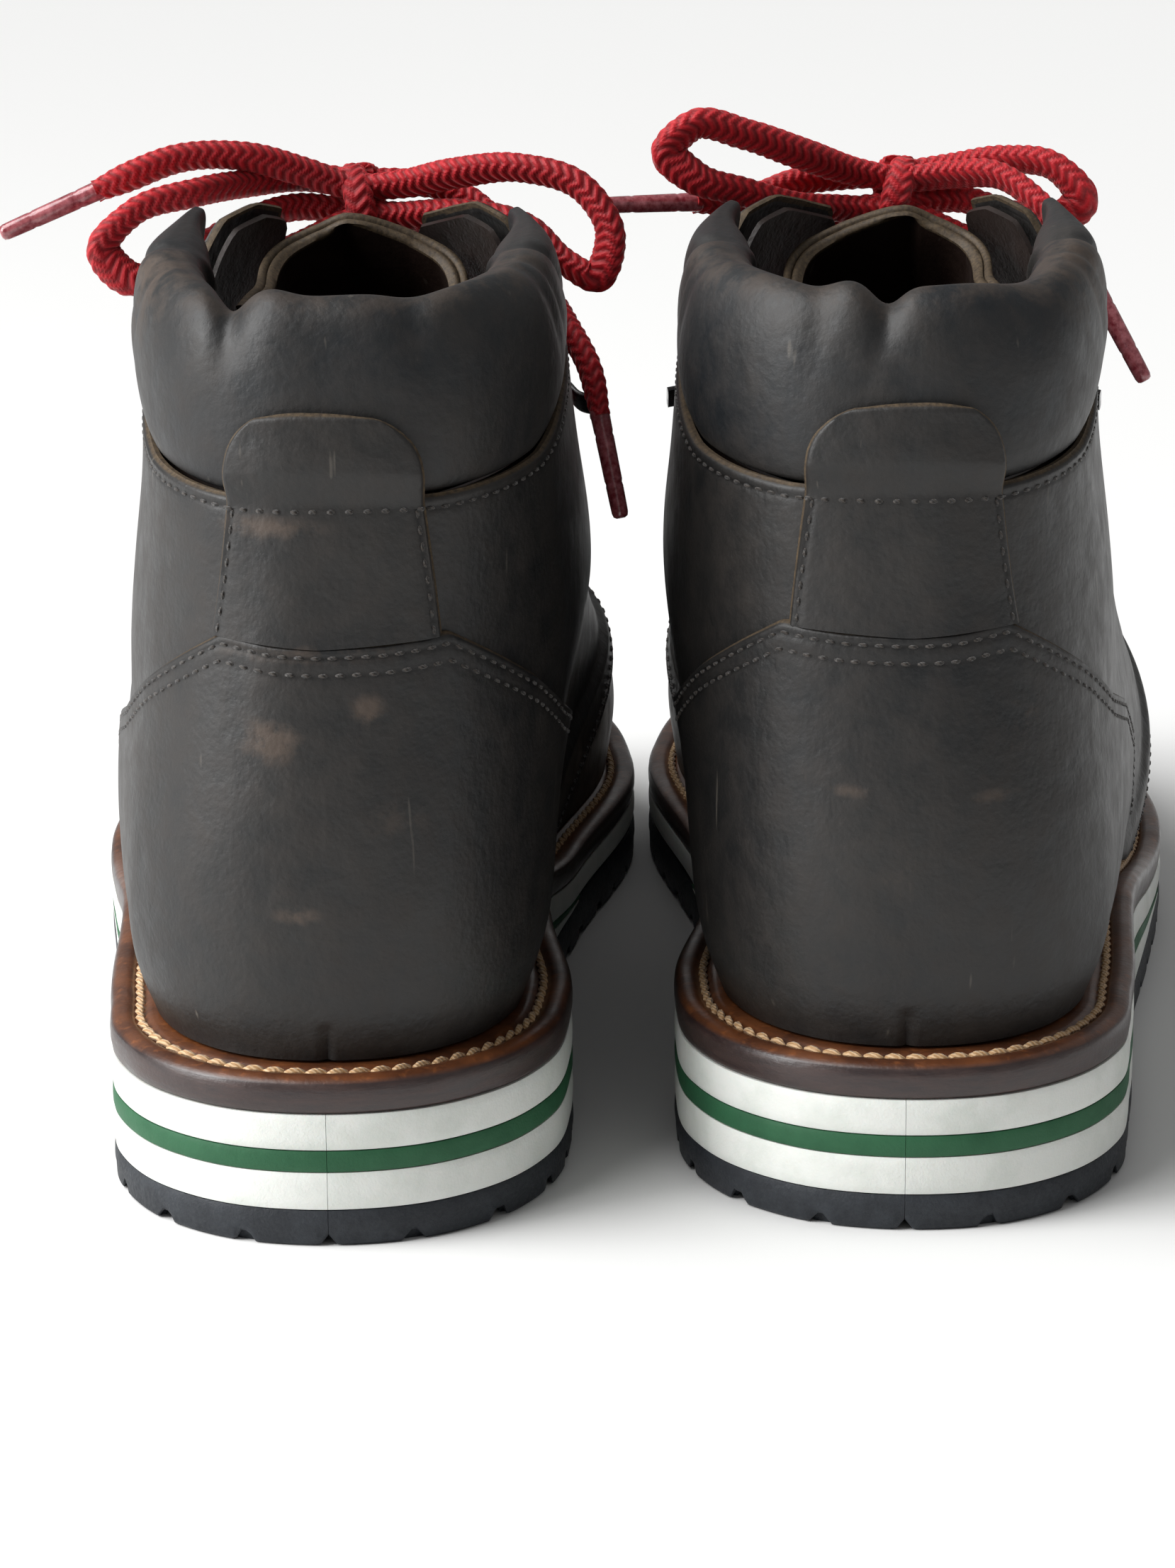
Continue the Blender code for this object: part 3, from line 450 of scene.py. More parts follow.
def slab(wall, top_y, front=None, under=None):
    """A sole layer as sections from heel to toe.  wall is a list of (inset,
    height(y, walked)) up its side; under(x, y) lowers the underside's points."""
    sides = []
    for inset, height in wall:
        pair = sole_lines(inset, front)
        sides.append([np.column_stack([line, height(line[:, 1], arc_lengths(line))]) for line in pair])
    lateral = np.stack([pair[0] for pair in sides], axis=1)
    medial = np.stack([pair[1] for pair in sides], axis=1)[:, ::-1]
    share = np.linspace(0, 1, 6)[1:-1, None, None]
    top = (lateral[:, -1][None] * (1 - share) + medial[:, 0][None] * share).transpose(1, 0, 2)
    top[..., 2] = top_y(top[..., 1])
    columns = 96 if under else 6
    share = np.linspace(0, 1, columns)[1:-1, None, None]
    sole = (medial[:, -1][None] * (1 - share) + lateral[:, 0][None] * share).transpose(1, 0, 2)
    if under:
        sole[..., 2] = level("ground", sole[..., 1]) + under(sole[..., 0], sole[..., 1])
    return swept(np.concatenate([lateral, top, medial, sole], axis=1))


def lug_relief(x, y, depth, pitch):
    """Depth of the channels between the tread's lugs: chevron rows and columns
    of lugs whose walls are steep ramps, with a flat waist under the arch."""
    row = (y + 0.35 * np.abs(x)) / pitch
    column = x / (pitch * 1.15) + 0.5 * (np.floor(row) % 2)
    across_row = np.abs(row % 1 - 0.5)
    across_column = np.abs(column % 1 - 0.5)
    channel = np.maximum(smooth(0.36, 0.42, across_row), smooth(0.38, 0.44, across_column))
    waist = smooth(-62, -56, y) * (1 - smooth(-8, -2, y))
    return depth * np.maximum(channel * (1 - waist), 0.55 * waist)


def notch(walked, pitch):
    """0 to 1 along the tread's lower edge: where the channels run out of the
    side, slightly uneven in their spacing."""
    shifted = walked + 1.6 * np.sin(walked * 0.11) + 0.9 * np.sin(walked * 0.37)
    return smooth(0.36, 0.45, np.abs((shifted / pitch) % 1 - 0.5)) * 0.9


def rounded_wall(bottom, top, bulge, corner=0.5):
    """Side wall of a foam or rubber layer: (inset, height) pairs with small
    round corners and a slight bulge between them."""
    def at(share, lift):
        return lambda y, walked: level(bottom, y) * (1 - share) + level(top, y) * share + lift
    rows = [(corner + 0.3, at(0, 0.05)), (corner * 0.35, at(0, 0.1)), (0.06, at(0, corner * 0.6))]
    rows += [(-bulge * (1 - (2 * s - 1) ** 2), at(s, 0)) for s in (0.25, 0.4, 0.5, 0.6, 0.75)]
    return rows + [(0.06, at(1, -corner * 0.6)), (corner * 0.35, at(1, -0.1)),
                   (corner + 0.3, at(1, -0.05))]


def make_sole(boot, sizes):
    """Lugged tread, two white foam layers and the green one between them."""
    depth, pitch = sizes.lug_depth / MM, sizes.lug_pitch / MM
    wall = rounded_wall("ground", "tread", 0.15)

    def lower_edge(lift):
        return lambda y, walked: level("ground", y) + lift + 1.9 * notch(walked, pitch)
    wall[:3] = [(1.6, lower_edge(0.0)), (0.5, lower_edge(0.15)), (0.1, lower_edge(0.7))]
    wall[3] = (0.0, lambda y, walked: level("ground", y) * 0.5 + level("tread", y) * 0.5)
    del wall[4:6]
    parts = slab(wall, lambda y: level("tread", y) - 0.05,
                 under=lambda x, y: lug_relief(x, y, depth, pitch))
    finished("tread", boot, *parts, look="moulded_rubber", slot="black_rubber", nodes=["outsole"])
    layers = (("foam_base", "midsole_lower", "tread", "lower", "white_foam", 16.0),
              ("foam_stripe", "midsole_stripe", "lower", "stripe", "green_foam", 18.0),
              ("foam_top", "midsole_upper", "stripe", "upper", "white_foam", None))
    for name, node, bottom, top, finish, front in layers:
        thin = 0.3 if front else 0.5
        parts = slab(rounded_wall(bottom, top, 0.12, thin), lambda y, top=top: level(top, y) - 0.05,
                     front=front)
        finished(name, boot, *parts, look=finish, slot=finish, nodes=[node])


# ---- welt -------------------------------------------------------------------
STITCH_LINE = 4.9             # the lockstitch, in from the welt's edge
WELT_WIDTH = 14.0


def make_welt(boot):
    """The welt: a strip round the sole with a rounded bead outside a stitch
    groove, made by carrying one profile of (inset, share of height, lift)
    along the outline."""
    profile = [(WELT_WIDTH, 0, 0), (1.0, 0, 0), (0.35, 0, 0.15), (0.1, 0, 0.6), (-0.15, 0.35, 0),
               (-0.2, 0.6, 0), (-0.05, 0.85, 0), (0.3, 1, -0.45), (0.9, 1, -0.1), (1.7, 1, 0.15),
               (2.7, 1, 0.2), (3.5, 1, 0.05), (4.0, 1, -0.5), (STITCH_LINE, 1, -0.85),
               (5.8, 1, -0.5), (6.3, 1, -0.05), (7.2, 1, 0.1), (WELT_WIDTH, 1, 0.0)]
    columns = []
    for inset, share, lift in profile:
        line = inset_outline(inset)
        low, high = level("upper", line[:, 1]) + 0.05, level("welt", line[:, 1])
        columns.append(np.column_stack([line, low * (1 - share) + high * share + lift]))
    sections = np.stack(columns, axis=1)[:, ::-1]
    # topside: 0 on the welt's side, painted darker partly as shade, 1 on its grain top
    shine = np.tile([0, 0, 0, 0, 0, 0, 0.1, 0.55, 0.9, 1, 1, 1, 1, 1, 1, 1, 1, 1][::-1], len(OUTLINE))
    finished("welt_strip", boot, *swept(sections, closed=True), look="welt_leather",
             slot="welt_leather", nodes=["welt"], fields={"topside": shine})


def thread_run(path, normal, pitch, length, radius, slant=0.0, sink=0.0):
    """Stitches along a path of points: each is a small spindle of six sides,
    laid along the path, turned by slant about the normal and sunk a little."""
    walked = arc_lengths(path)
    count = max(2, int(walked[-1] / pitch))
    at = (np.arange(count) + 0.5) / count * walked[-1]

    def pick(values, where):
        return np.stack([np.interp(where, walked, column) for column in values.T], axis=1)
    middle, up = pick(path, at), unit(pick(normal, at))
    along = unit(pick(path, np.minimum(at + 0.5, walked[-1])) - pick(path, np.maximum(at - 0.5, 0)))
    side = unit(np.cross(up, along))
    along = along * np.cos(slant) + side * np.sin(slant)
    side = np.cross(up, along)
    reach = np.array([-1.0, -0.82, -0.3, 0.3, 0.82, 1.0])
    thick = radius * np.array([0.25, 0.75, 1.0, 1.0, 0.75, 0.25])
    drop = -radius * np.array([1.5, 0.55, 0.0, 0.0, 0.55, 1.5]) - sink
    turn = np.linspace(0, 2 * np.pi, 7)[:-1]
    rings = (middle[:, None, None] + along[:, None, None] * (reach * length / 2)[None, :, None, None]
             + up[:, None, None] * (drop[None, :, None] + thick[None, :, None] * np.sin(turn))[..., None]
             + side[:, None, None] * (thick[None, :, None] * np.cos(turn))[..., None])
    return gather([swept(one) for one in rings])


def make_welt_stitches(boot, sizes):
    """The cream lockstitch in the welt's groove."""
    line = inset_outline(STITCH_LINE)
    line = np.concatenate([line, line[:1]])
    path = np.column_stack([line, level("welt", line[:, 1]) - 0.15])
    pitch = sizes.welt_pitch / MM
    parts = thread_run(path, np.tile([0, 0, 1.0], (len(path), 1)), pitch, pitch * 1.16, 0.60,
                       slant=0.24)
    finished("welt_stitching", boot, *parts, look="waxed_thread", slot="welt_leather")


def make_insides(boot):
    """Footbed, and the finishes of the board and the steel shank under it."""
    low, high = "upper", "welt"
    rows = [(18.0, lambda y, walked: level(low, y) + 4.9), (17.2, lambda y, walked: level(low, y) + 5.4),
            (17.2, lambda y, walked: level(high, y) + 4.6), (18.2, lambda y, walked: level(high, y) + 5.0)]
    parts = slab(rows, lambda y: level(high, y) + 3.6)
    finished("sock", boot, *parts, look="lining_leather", slot="lining_leather", nodes=["footbed"])
    for node, look in (("insole_board", "pressed_board"), ("shank", "spring_steel")):
        for material_slot in frame["nodes"][f"{boot}_{node}"].material_slots:
            material_slot.material = LOOKS[look]


# ---- leather panels ---------------------------------------------------------
EDGE_STEPS = [0, 0.25, 0.6, 1.0, 1.5, 2.0, 2.5, 3.2, 4.0, 4.8, 5.6, 7.0]
SEAM_ROWS = (2.0, 4.8)        # stitch rows, in from a cut edge
SEAM_Y = 8.0                  # where the vamp meets the quarters at the welt
COLLAR_BACK_V = 0.735
COUNTER_BACK_V = 0.553
COUNTER_CORNER = (0.068, 0.565)
PATCH_LOW, PATCH_STITCH, PATCH_TOP = 0.560, 0.723, 0.850
PATCH_SAG = 0.011
PATCH_HALF_LOW, PATCH_HALF_MID, PATCH_HALF_TOP = 0.0715, 0.0645, 0.0585
PATCH_LEAN = -0.008           # the patch sits a little to the lateral side


def collar_line(side):
    """(u, v) of the collar's lower seam from the back to the facing."""
    points = [(0.0, COLLAR_BACK_V), (side * 0.07, COLLAR_BACK_V)]
    points += [uv(side, y, z) for y, z in ((-112, 124), (-90, 130), (-65, 136), (-48, 141))]
    return points


def edge_shares(count, length, near, far):
    """Shares 0 to 1 of a length in mm, closer together at a cut end."""
    steps = np.array(EDGE_STEPS) / length
    start = steps if near else np.array([0.0])
    end = 1 - (steps if far else np.array([0.0]))
    middle = np.linspace(start[-1], end[-1], count)[1:-1]
    return np.concatenate([start, middle, end[::-1]])


def uv_curve(points, shares):
    """A (u, v) curve read at shares of its length on the boot."""
    points = np.asarray(points, float)
    fine = resample(points * [1.0, 0.6], 240) / [1.0, 0.6]
    walked = arc_lengths(bare_upper(fine[:, 0], fine[:, 1]))
    at = np.asarray(shares) * walked[-1]
    return np.stack([np.interp(at, walked, column) for column in fine.T], axis=1)


def hide(u, v):
    """Slow swells of leather over a last, in mm: three crossing waves."""
    p = bare_upper(u, v)
    swell = 0.30 * np.sin(p[..., 1] * 0.085 + p[..., 2] * 0.04 + 1.0)
    swell += 0.22 * np.sin(p[..., 2] * 0.11 - p[..., 1] * 0.05 + 2 * u)
    return swell * smooth(0.03, 0.2, v)


def vamp_creases(u, v):
    """Flexing creases over the toes' joint, in mm: waves across the foot that
    fade away from its top."""
    p = bare_upper(u, v)
    zone = bump(p[..., 1], 62, 26) * smooth(0.08, 0.3, v)
    wave = np.sin(p[..., 1] * 0.42 + 0.05 * p[..., 0] + 0.7 * np.sin(p[..., 0] * 0.09))
    return zone * (0.55 * wave - 0.15 * np.abs(np.sin(p[..., 1] * 0.93 + 0.06 * p[..., 0])))


def leather_panel(name, boot, low, high, columns, rows, base, thick, cut, nodes=(), relief=hide,
                  seams=SEAM_ROWS, body="boot", look="oiled_leather", slot="oiled_leather"):
    """A panel over the (u, v) region between two curves.  cut names its free
    edges of 'low', 'high', 'first' and 'last', which are rounded and bear the
    stitch grooves; the fields rim and groove tell the material where."""
    wide = arc_lengths(upper(*np.array(uv_curve(low, np.linspace(0, 1, 40))).T))[-1]
    tall = np.linalg.norm(upper(*high[len(high) // 2]) - upper(*low[len(low) // 2]))
    across = edge_shares(columns, wide, "first" in cut, "last" in cut)
    climb = edge_shares(rows, max(tall, 16), "low" in cut, "high" in cut)
    lower, top = uv_curve(low, across), uv_curve(high, across)
    grid = lower[None] * (1 - climb[:, None, None]) + top[None] * climb[:, None, None]
    u, v = grid[..., 0], grid[..., 1]
    bare = bare_upper(u, v)
    up, over = arc_lengths(bare), arc_lengths(bare.transpose(1, 0, 2)).T
    far = np.full(u.shape, 99.0)
    distances = {"low": up, "high": up[-1:] - up, "first": over, "last": over[:, -1:] - over}
    for edge in cut:
        far = np.minimum(far, distances[edge])
    # groove both presses the stitch rows in and darkens them in the material as painted shade
    groove = sum((bump(far, row, 0.45) for row in seams), np.zeros(u.shape))
    roll = 1 - 0.55 * (1 - smooth(0, 0.9, far))
    lift = base(u, v) if callable(base) else np.full(u.shape, float(base))
    outer = upper(u, v, lift + thick * roll + relief(u, v) - 0.22 * groove)
    inner = upper(u, v, lift + relief(u, v))
    points, quads = shell(outer, inner)
    rim = 1 - smooth(0.15, 0.95, far)
    fields = {"rim": np.concatenate([rim.ravel(), (rim > 0).ravel()]),
              "groove": np.tile(groove.ravel(), 2)}
    finished(name, boot, points, quads, look=look, slot=slot, nodes=nodes, body=body, fields=fields)
    return lambda edge, inset: panel_seam(outer, distances[edge], edge, inset)


def panel_seam(outer, distance, edge, inset):
    """The outer surface's points and normals along a line at inset from an
    edge, one for each row or column of points that crosses it."""
    along = np.gradient(outer, axis=1)
    up = np.gradient(outer, axis=0)
    normal = unit(np.cross(along, up))
    if edge in ("first", "last"):
        outer, normal, distance = (a.swapaxes(0, 1) for a in (outer, normal, distance))
    if edge in ("high", "last"):
        outer, normal, distance = (a[::-1] for a in (outer, normal, distance))
    path, out = [], []
    for k in range(outer.shape[1]):
        path.append([np.interp(inset, distance[:, k], outer[:, k, axis]) for axis in range(3)])
        out.append([np.interp(inset, distance[:, k], normal[:, k, axis]) for axis in range(3)])
    return np.array(path), np.array(out)


def quarter_edges(side):
    """The lower and upper (u, v) curves of a quarter, from the back seam."""
    seam = uv(side, SEAM_Y, 0)[0]
    low = [(side * 0.0008, 0), (seam, 0)]
    high = [(side * 0.0008, COLLAR_BACK_V)] + [(u, v) for u, v in collar_line(side)[1:]]
    top = [(side * 0.80, 0.955), (side * 0.865, 0.972), (side * 0.905, 0.955)]
    v = np.linspace(0.93, THROAT_V, 10)
    return low, high + top + list(zip(facing_u(side, v, EDGE_HALF_GAP), v))


def make_uppers(boot, sizes):
    """Vamp, quarters, heel counter, heel patch and pull tab, with the stitch
    rows that hold them."""
    thick = sizes.leather / MM
    pitch = sizes.seam_pitch / MM
    lateral, medial = uv(-1, SEAM_Y, 0)[0], uv(1, SEAM_Y, 0)[0]
    tuck = 0.030
    throat = facing_u(1, THROAT_V, EDGE_HALF_GAP)[0]
    low = [(lateral + 2 + tuck, 0), (1.0, 0), (medial - tuck, 0)]
    high = [(2 - throat + tuck, THROAT_V - 0.01), (1.0, THROAT_V - 0.012), (throat - tuck, THROAT_V - 0.01)]
    runs = []
    leather_panel("front_leather", boot, low[::-1], high[::-1], 190, 90, -0.1, thick, (),
                  nodes=["vamp"], relief=lambda u, v: hide(u, v) + vamp_creases(u, v), seams=())
    for flank, side in FLANKS.items():
        low, high = quarter_edges(side)
        cut = ["high", "last"]
        if side < 0:
            low, high, cut = low[::-1], high[::-1], ["high", "first"]
        seam_u = abs(uv(side, SEAM_Y, 0)[0])

        def over_vamp(u, v, seam_u=seam_u):
            line = seam_u + (throat - seam_u) * smooth(0, THROAT_V, v)
            return thick * smooth(-0.075, -0.045, np.abs(u) - line) * (1 - smooth(0.36, 0.46, v))
        seam = leather_panel(f"side_leather_{flank}", boot, low, high, 210, 110, over_vamp, thick,
                             cut, nodes=[f"quarter_{flank}"], seams=(2.2,))
        for edge in cut:
            runs.append(thread_run(*seam(edge, 2.2), pitch, pitch * 0.72, 0.36))
        front = seam(cut[1], 5.0)
        runs.append(thread_run(front[0], front[1], pitch, pitch * 0.72, 0.36))
    runs += make_heel(boot, thick, pitch)
    parts = gather(runs)
    finished("seam_stitching", boot, *parts, look="brown_thread", slot="oiled_leather")


def heel_relief(u, v):
    """The counter's surface: slow swells, and a short closing seam low at the
    middle of the heel."""
    p = bare_upper(u, v)
    slit = bump(p[..., 0], 0, 0.7) * (1 - smooth(0.05, 0.075, v))
    return 0.8 * hide(u, v) - 0.9 * slit


def make_heel(boot, thick, pitch):
    """Counter, patch and pull tab; returns their stitch runs."""
    top = []
    for side in (-1, 1):
        line = [(0.0, COUNTER_BACK_V), (side * 0.03, COUNTER_BACK_V + 0.0025)]
        line.append((side * COUNTER_CORNER[0], COUNTER_CORNER[1]))
        line += [uv(side, y, z) for y, z in ((-118, 88), (-104, 80), (-80, 73), (-55, 62))]
        line.append((uv(side, -36, 0)[0], 0.13))
        top.append(line)
    high = top[0][::-1] + top[1][1:]
    low = [(high[0][0] - 0.01, 0.0), (0.0, 0.0), (high[-1][0] + 0.01, 0.0)]
    seam = leather_panel("heel_leather", boot, low, high, 300, 80, thick - 0.4, thick + 0.4,
                         ["high", "first", "last"], nodes=["heel_counter"], relief=heel_relief)
    runs = [thread_run(*seam("high", row), pitch, pitch * 0.72, 0.36) for row in SEAM_ROWS]
    low = [(PATCH_LEAN - PATCH_HALF_LOW, PATCH_LOW + PATCH_SAG - 0.012), (0.0, PATCH_LOW - 0.012),
           (PATCH_LEAN + PATCH_HALF_LOW, PATCH_LOW + PATCH_SAG - 0.012)]
    high = [(PATCH_LEAN - PATCH_HALF_MID, PATCH_STITCH), (PATCH_LEAN + PATCH_HALF_MID, PATCH_STITCH)]
    seam = leather_panel("back_patch", boot, low, high, 46, 40, thick - 0.3, thick,
                         ["first", "last"], nodes=["heel_patch"], seams=(1.6,), relief=flat_relief)
    runs += [thread_run(*seam(edge, 1.6), pitch, pitch * 0.66, 0.36) for edge in ("first", "last")]
    runs.append(thread_run(*seam("high", 0.6), pitch, pitch * 0.6, 0.40))
    make_tab(boot, thick)
    return runs


def flat_relief(u, v):
    """No relief at all, for a panel that lies smooth."""
    return np.zeros(np.broadcast(u, v).shape)


TAB_CORNER = 8.5              # radius of its upper corners
CUFF_SWELL = 2.6


def make_tab(boot, thick):
    """The patch's free upper half: width from a rounded-corner rule, standing
    off the padded collar."""
    tall = np.linalg.norm(upper(0, PATCH_TOP) - upper(0, PATCH_STITCH))
    climb = edge_shares(34, tall, False, True)
    share = edge_shares(34, 32.0, True, True) * 2 - 1
    below_top = (1 - climb) * tall
    half = np.interp(climb, [0, 1], [PATCH_HALF_MID, PATCH_HALF_TOP])
    full = np.linalg.norm(upper(PATCH_HALF_TOP, PATCH_TOP) - upper(0, PATCH_TOP))
    cut = TAB_CORNER - np.sqrt(np.maximum(TAB_CORNER**2 - np.maximum(TAB_CORNER - below_top, 0) ** 2, 0))
    half = half * (1 - cut / full)
    u = PATCH_LEAN + half[:, None] * share[None]
    v = (PATCH_STITCH + climb * (PATCH_TOP - PATCH_STITCH))[:, None] - 0.006 * (share**2)[None]
    out = (thick - 0.3 + (CUFF_SWELL + 1.1 - thick) * smooth(0, 0.4, climb))[:, None] + 0 * u
    out = out + 0.5 * bump(climb, 0.55, 0.25)[:, None] * bump(share, 0.2, 0.6)[None]
    bare = upper(u, v, out)
    over = arc_lengths(bare.transpose(1, 0, 2)).T
    far = np.minimum(np.minimum(over, over[:, -1:] - over), below_top[:, None])
    roll = 1 - 0.55 * (1 - smooth(0, 0.9, far))
    points, quads = shell(upper(u, v, out + thick * roll), bare)
    rim = 1 - smooth(0.15, 0.95, far)
    fields = {"rim": np.concatenate([rim.ravel(), (rim > 0).ravel()]), "groove": np.zeros(2 * rim.size)}
    tab = finished("back_tab", boot, points, quads, look="oiled_leather", slot="oiled_leather",
                   nodes=["pull_tab"], body="pull_tab", fields=fields)
    root = place(upper(PATCH_LEAN, PATCH_STITCH, 2.0), boot)
    tip = place(upper(PATCH_LEAN, PATCH_STITCH + 0.05, 2.0), boot)
    tab.parent = None
    del tab["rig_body"]
    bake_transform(tab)


# ---- padded collar ----------------------------------------------------------
# Pinches in the collar's top at the back: plan x, depth and half width in mm.
PINCHES = {"left": [(-13.5, 3.2, 3.0), (15.5, 1.0, 4.5)],
           "right": [(4.5, 3.0, 3.0), (14.5, 1.1, 4.0), (-19.0, 1.4, 5.0)]}
COLLAR_RING = [(0.0, 0.1, 0.1), (0.10, 0.5, 1.5), (0.3, 0.8, 2.4), (0.55, 0.9, CUFF_SWELL),
               (0.80, 0.9, 2.3), (0.93, 0.5, 1.1), (1.0, 0.1, -1.4), (1.0, -1.2, -4.6),
               (0.92, -1.9, -7.6), (0.75, -2.1, -9.0), (0.5, -2.1, -9.4), (0.25, -2.1, -7.6),
               (0.08, -2.2, -4.6), (0.0, -2.2, -2.6)]
COLLAR_RING_POINTS = 40


def make_collar(boot, sizes):
    """The padded band: sections run up the outside, over the top line and down
    the inside; then the foam's pressure fills the leather by cloth simulation,
    and the pinches at the back are pressed in."""
    ends = [collar_line(side)[::-1] for side in (-1, 1)]
    seam = np.array(ends[0] + ends[1][::-1][1:])
    line = uv_curve(seam, np.linspace(0, 1, 150))
    walked = np.linspace(0, 1, len(line))
    full = smooth(0, 0.13, np.minimum(walked, 1 - walked))[:, None]
    steps = np.linspace(0, len(COLLAR_RING) - 1, COLLAR_RING_POINTS)
    ring = hermite(np.arange(len(COLLAR_RING)), COLLAR_RING, steps)
    low = line[:, 1:] + 0.001
    v = low + ring[None, :, 0] * (1 - low)
    u = line[:, :1] + 0 * v
    out = ring[None, :, 1] * (1 - full) + ring[None, :, 2] * full
    pads = upper(u, np.clip(v, 0, 1), out)
    points, quads, tris = swept(pads[:, ::-1])
    place_in_ring = np.arange(COLLAR_RING_POINTS)
    sewn = np.minimum(place_in_ring, place_in_ring[::-1]) < 2
    thin = full[:, 0] < 0.25
    held = np.concatenate([(sewn[None] | thin[:, None]).ravel(), [True, True]])
    pad = finished("padded_cuff", boot, points, quads, tris, look="collar_leather",
                   slot="collar_leather", nodes=["collar"])
    inflate(pad, held, sizes.collar_push / MM)
    subdivide(pad)
    pinch(pad, boot)


def inflate(pad, held, cap):
    """Cloth with inner pressure and no gravity, its seams pinned, stepped for
    twenty frames; no point may move further than cap millimetres."""
    rest = np.zeros(len(pad.data.vertices) * 3, np.float32)
    pad.data.vertices.foreach_get("co", rest)
    rest = rest.reshape(-1, 3)
    group = pad.vertex_groups.new(name="seams")
    group.add([int(i) for i in np.flatnonzero(held)], 1.0, "REPLACE")
    cloth = pad.modifiers.new("foam", "CLOTH")
    cloth.settings.quality = 6
    cloth.settings.mass = 0.3
    cloth.settings.tension_stiffness = 20
    cloth.settings.compression_stiffness = 20
    cloth.settings.bending_stiffness = 4
    cloth.settings.use_pressure = True
    cloth.settings.uniform_pressure_force = 4
    cloth.settings.vertex_group_mass = "seams"
    cloth.settings.effector_weights.gravity = 0
    cloth.collision_settings.use_collision = False
    cloth.point_cache.frame_end = 20
    for step in range(1, 21):
        bpy.context.scene.frame_set(step)
    shown = pad.evaluated_get(bpy.context.evaluated_depsgraph_get()).data
    moved = np.zeros(len(rest) * 3, np.float32)
    shown.vertices.foreach_get("co", moved)
    push = moved.reshape(-1, 3) - rest
    length = np.linalg.norm(push, axis=1, keepdims=True)
    push *= np.minimum(1, cap * MM / np.maximum(length, 1e-9))
    pad.modifiers.remove(cloth)
    pad.vertex_groups.remove(group)
    bpy.context.scene.frame_set(1)
    pad.data.vertices.foreach_set("co", (rest + push).ravel())
    pad.data.update()


def subdivide(piece, levels=1):
    """One round of subdivision, kept in the mesh."""
    modifier = piece.modifiers.new("finer", "SUBSURF")
    modifier.levels = modifier.render_levels = levels
    finer = bpy.data.meshes.new_from_object(piece.evaluated_get(bpy.context.evaluated_depsgraph_get()))
    piece.modifiers.remove(modifier)
    piece.data = finer


def pinch(pad, boot):
    """Presses the pinches into the top line, with the leather heaped beside
    each, and lays slanting creases from the front corners."""
    flat = np.zeros(len(pad.data.vertices) * 3, np.float32)
    pad.data.vertices.foreach_get("co", flat)
    p = unplace(flat.reshape(-1, 3), boot)
    x, y, z = p.T.copy()
    at_back = 1 - smooth(-112, -92, y)
    top = smooth(136, 152, z)
    drop, crease = np.zeros(len(p)), np.zeros(len(p))
    for where, depth, width in PINCHES[boot]:
        drop -= depth * bump(x, where, width)
        drop += 0.38 * depth * bump(x, where + 2.4 * width * np.sign(width), width * 1.3)
        slope = where + (152 - z) * 0.18 * np.sign(where)
        crease -= 0.5 * bump(x, slope, width * 0.55) * smooth(132, 150, z)
    p[:, 2] += drop * at_back * top
    p[:, 1] -= crease * at_back * (y < -118)
    for side in (-1, 1):
        for start, lean, depth in ((-96, 0.9, 0.7), (-82, 1.3, 0.9), (-104, 0.5, 0.5)):
            fold = bump(y - start - lean * (150 - z), 0, 2.6)
            press = depth * fold * smooth(134, 146, z) * (np.sign(x) == side)
            p[:, 0] -= side * press * smooth(14, 22, np.abs(x))
            p[:, 2] -= 0.6 * press * top
    p += 0.25 * np.sin(p[:, [1, 2, 0]] * 0.16) * smooth(132, 140, z)[:, None]
    pad.data.vertices.foreach_set("co", place(p, boot).astype(np.float32).ravel())
    pad.data.update()


# ---- lining and tongue ------------------------------------------------------
LINING, LINING_DEPTH = 0.9, 1.9


def make_lining(boot):
    """The inner sleeve, from the welt up to the collar and the facings."""
    def top_edge(side):
        v = np.linspace(0.93, THROAT_V + 0.004, 12)
        crown = [(side * 0.80, 0.950), (side * 0.865, 0.966), (side * 0.905, 0.950)]
        return collar_line(side) + crown + list(zip(facing_u(side, v, EDGE_HALF_GAP), v))
    high = [(u, v - 0.005) for u, v in top_edge(1)]
    high += [(1.0, THROAT_V - 0.004)]
    high += [(u + 2.0, v - 0.005) for u, v in top_edge(-1)[::-1]]
    low = [(0.0, 0.0), (1.0, 0.0), (2.0, 0.0)]
    shares = np.linspace(0, 1, 301)[:-1]
    rows = np.linspace(0, 1, 46)[:, None, None]
    grid = uv_curve(low, shares)[None] * (1 - rows) + uv_curve(high, shares)[None] * rows
    u, v = grid[..., 0], grid[..., 1]
    pleat = 0.25 * np.sin(bare_upper(u, v)[..., 1] * 0.21) * smooth(0.2, 0.5, v)
    outer = upper(u, v, -LINING_DEPTH + 0 * u)
    inner = upper(u, v, -LINING_DEPTH - LINING + pleat)
    sections = np.concatenate([outer, inner[::-1]], axis=0).transpose(1, 0, 2)[::-1]
    finished("lining_sleeve", boot, *swept(sections, closed=True), look="lining_leather",
             slot="lining_leather", nodes=["lining"])


TONGUE_WING = 0.57
TONGUE_THICK = 3.4
TONGUE_ROOT_V = 0.425
TONGUE_FALL = 0.13


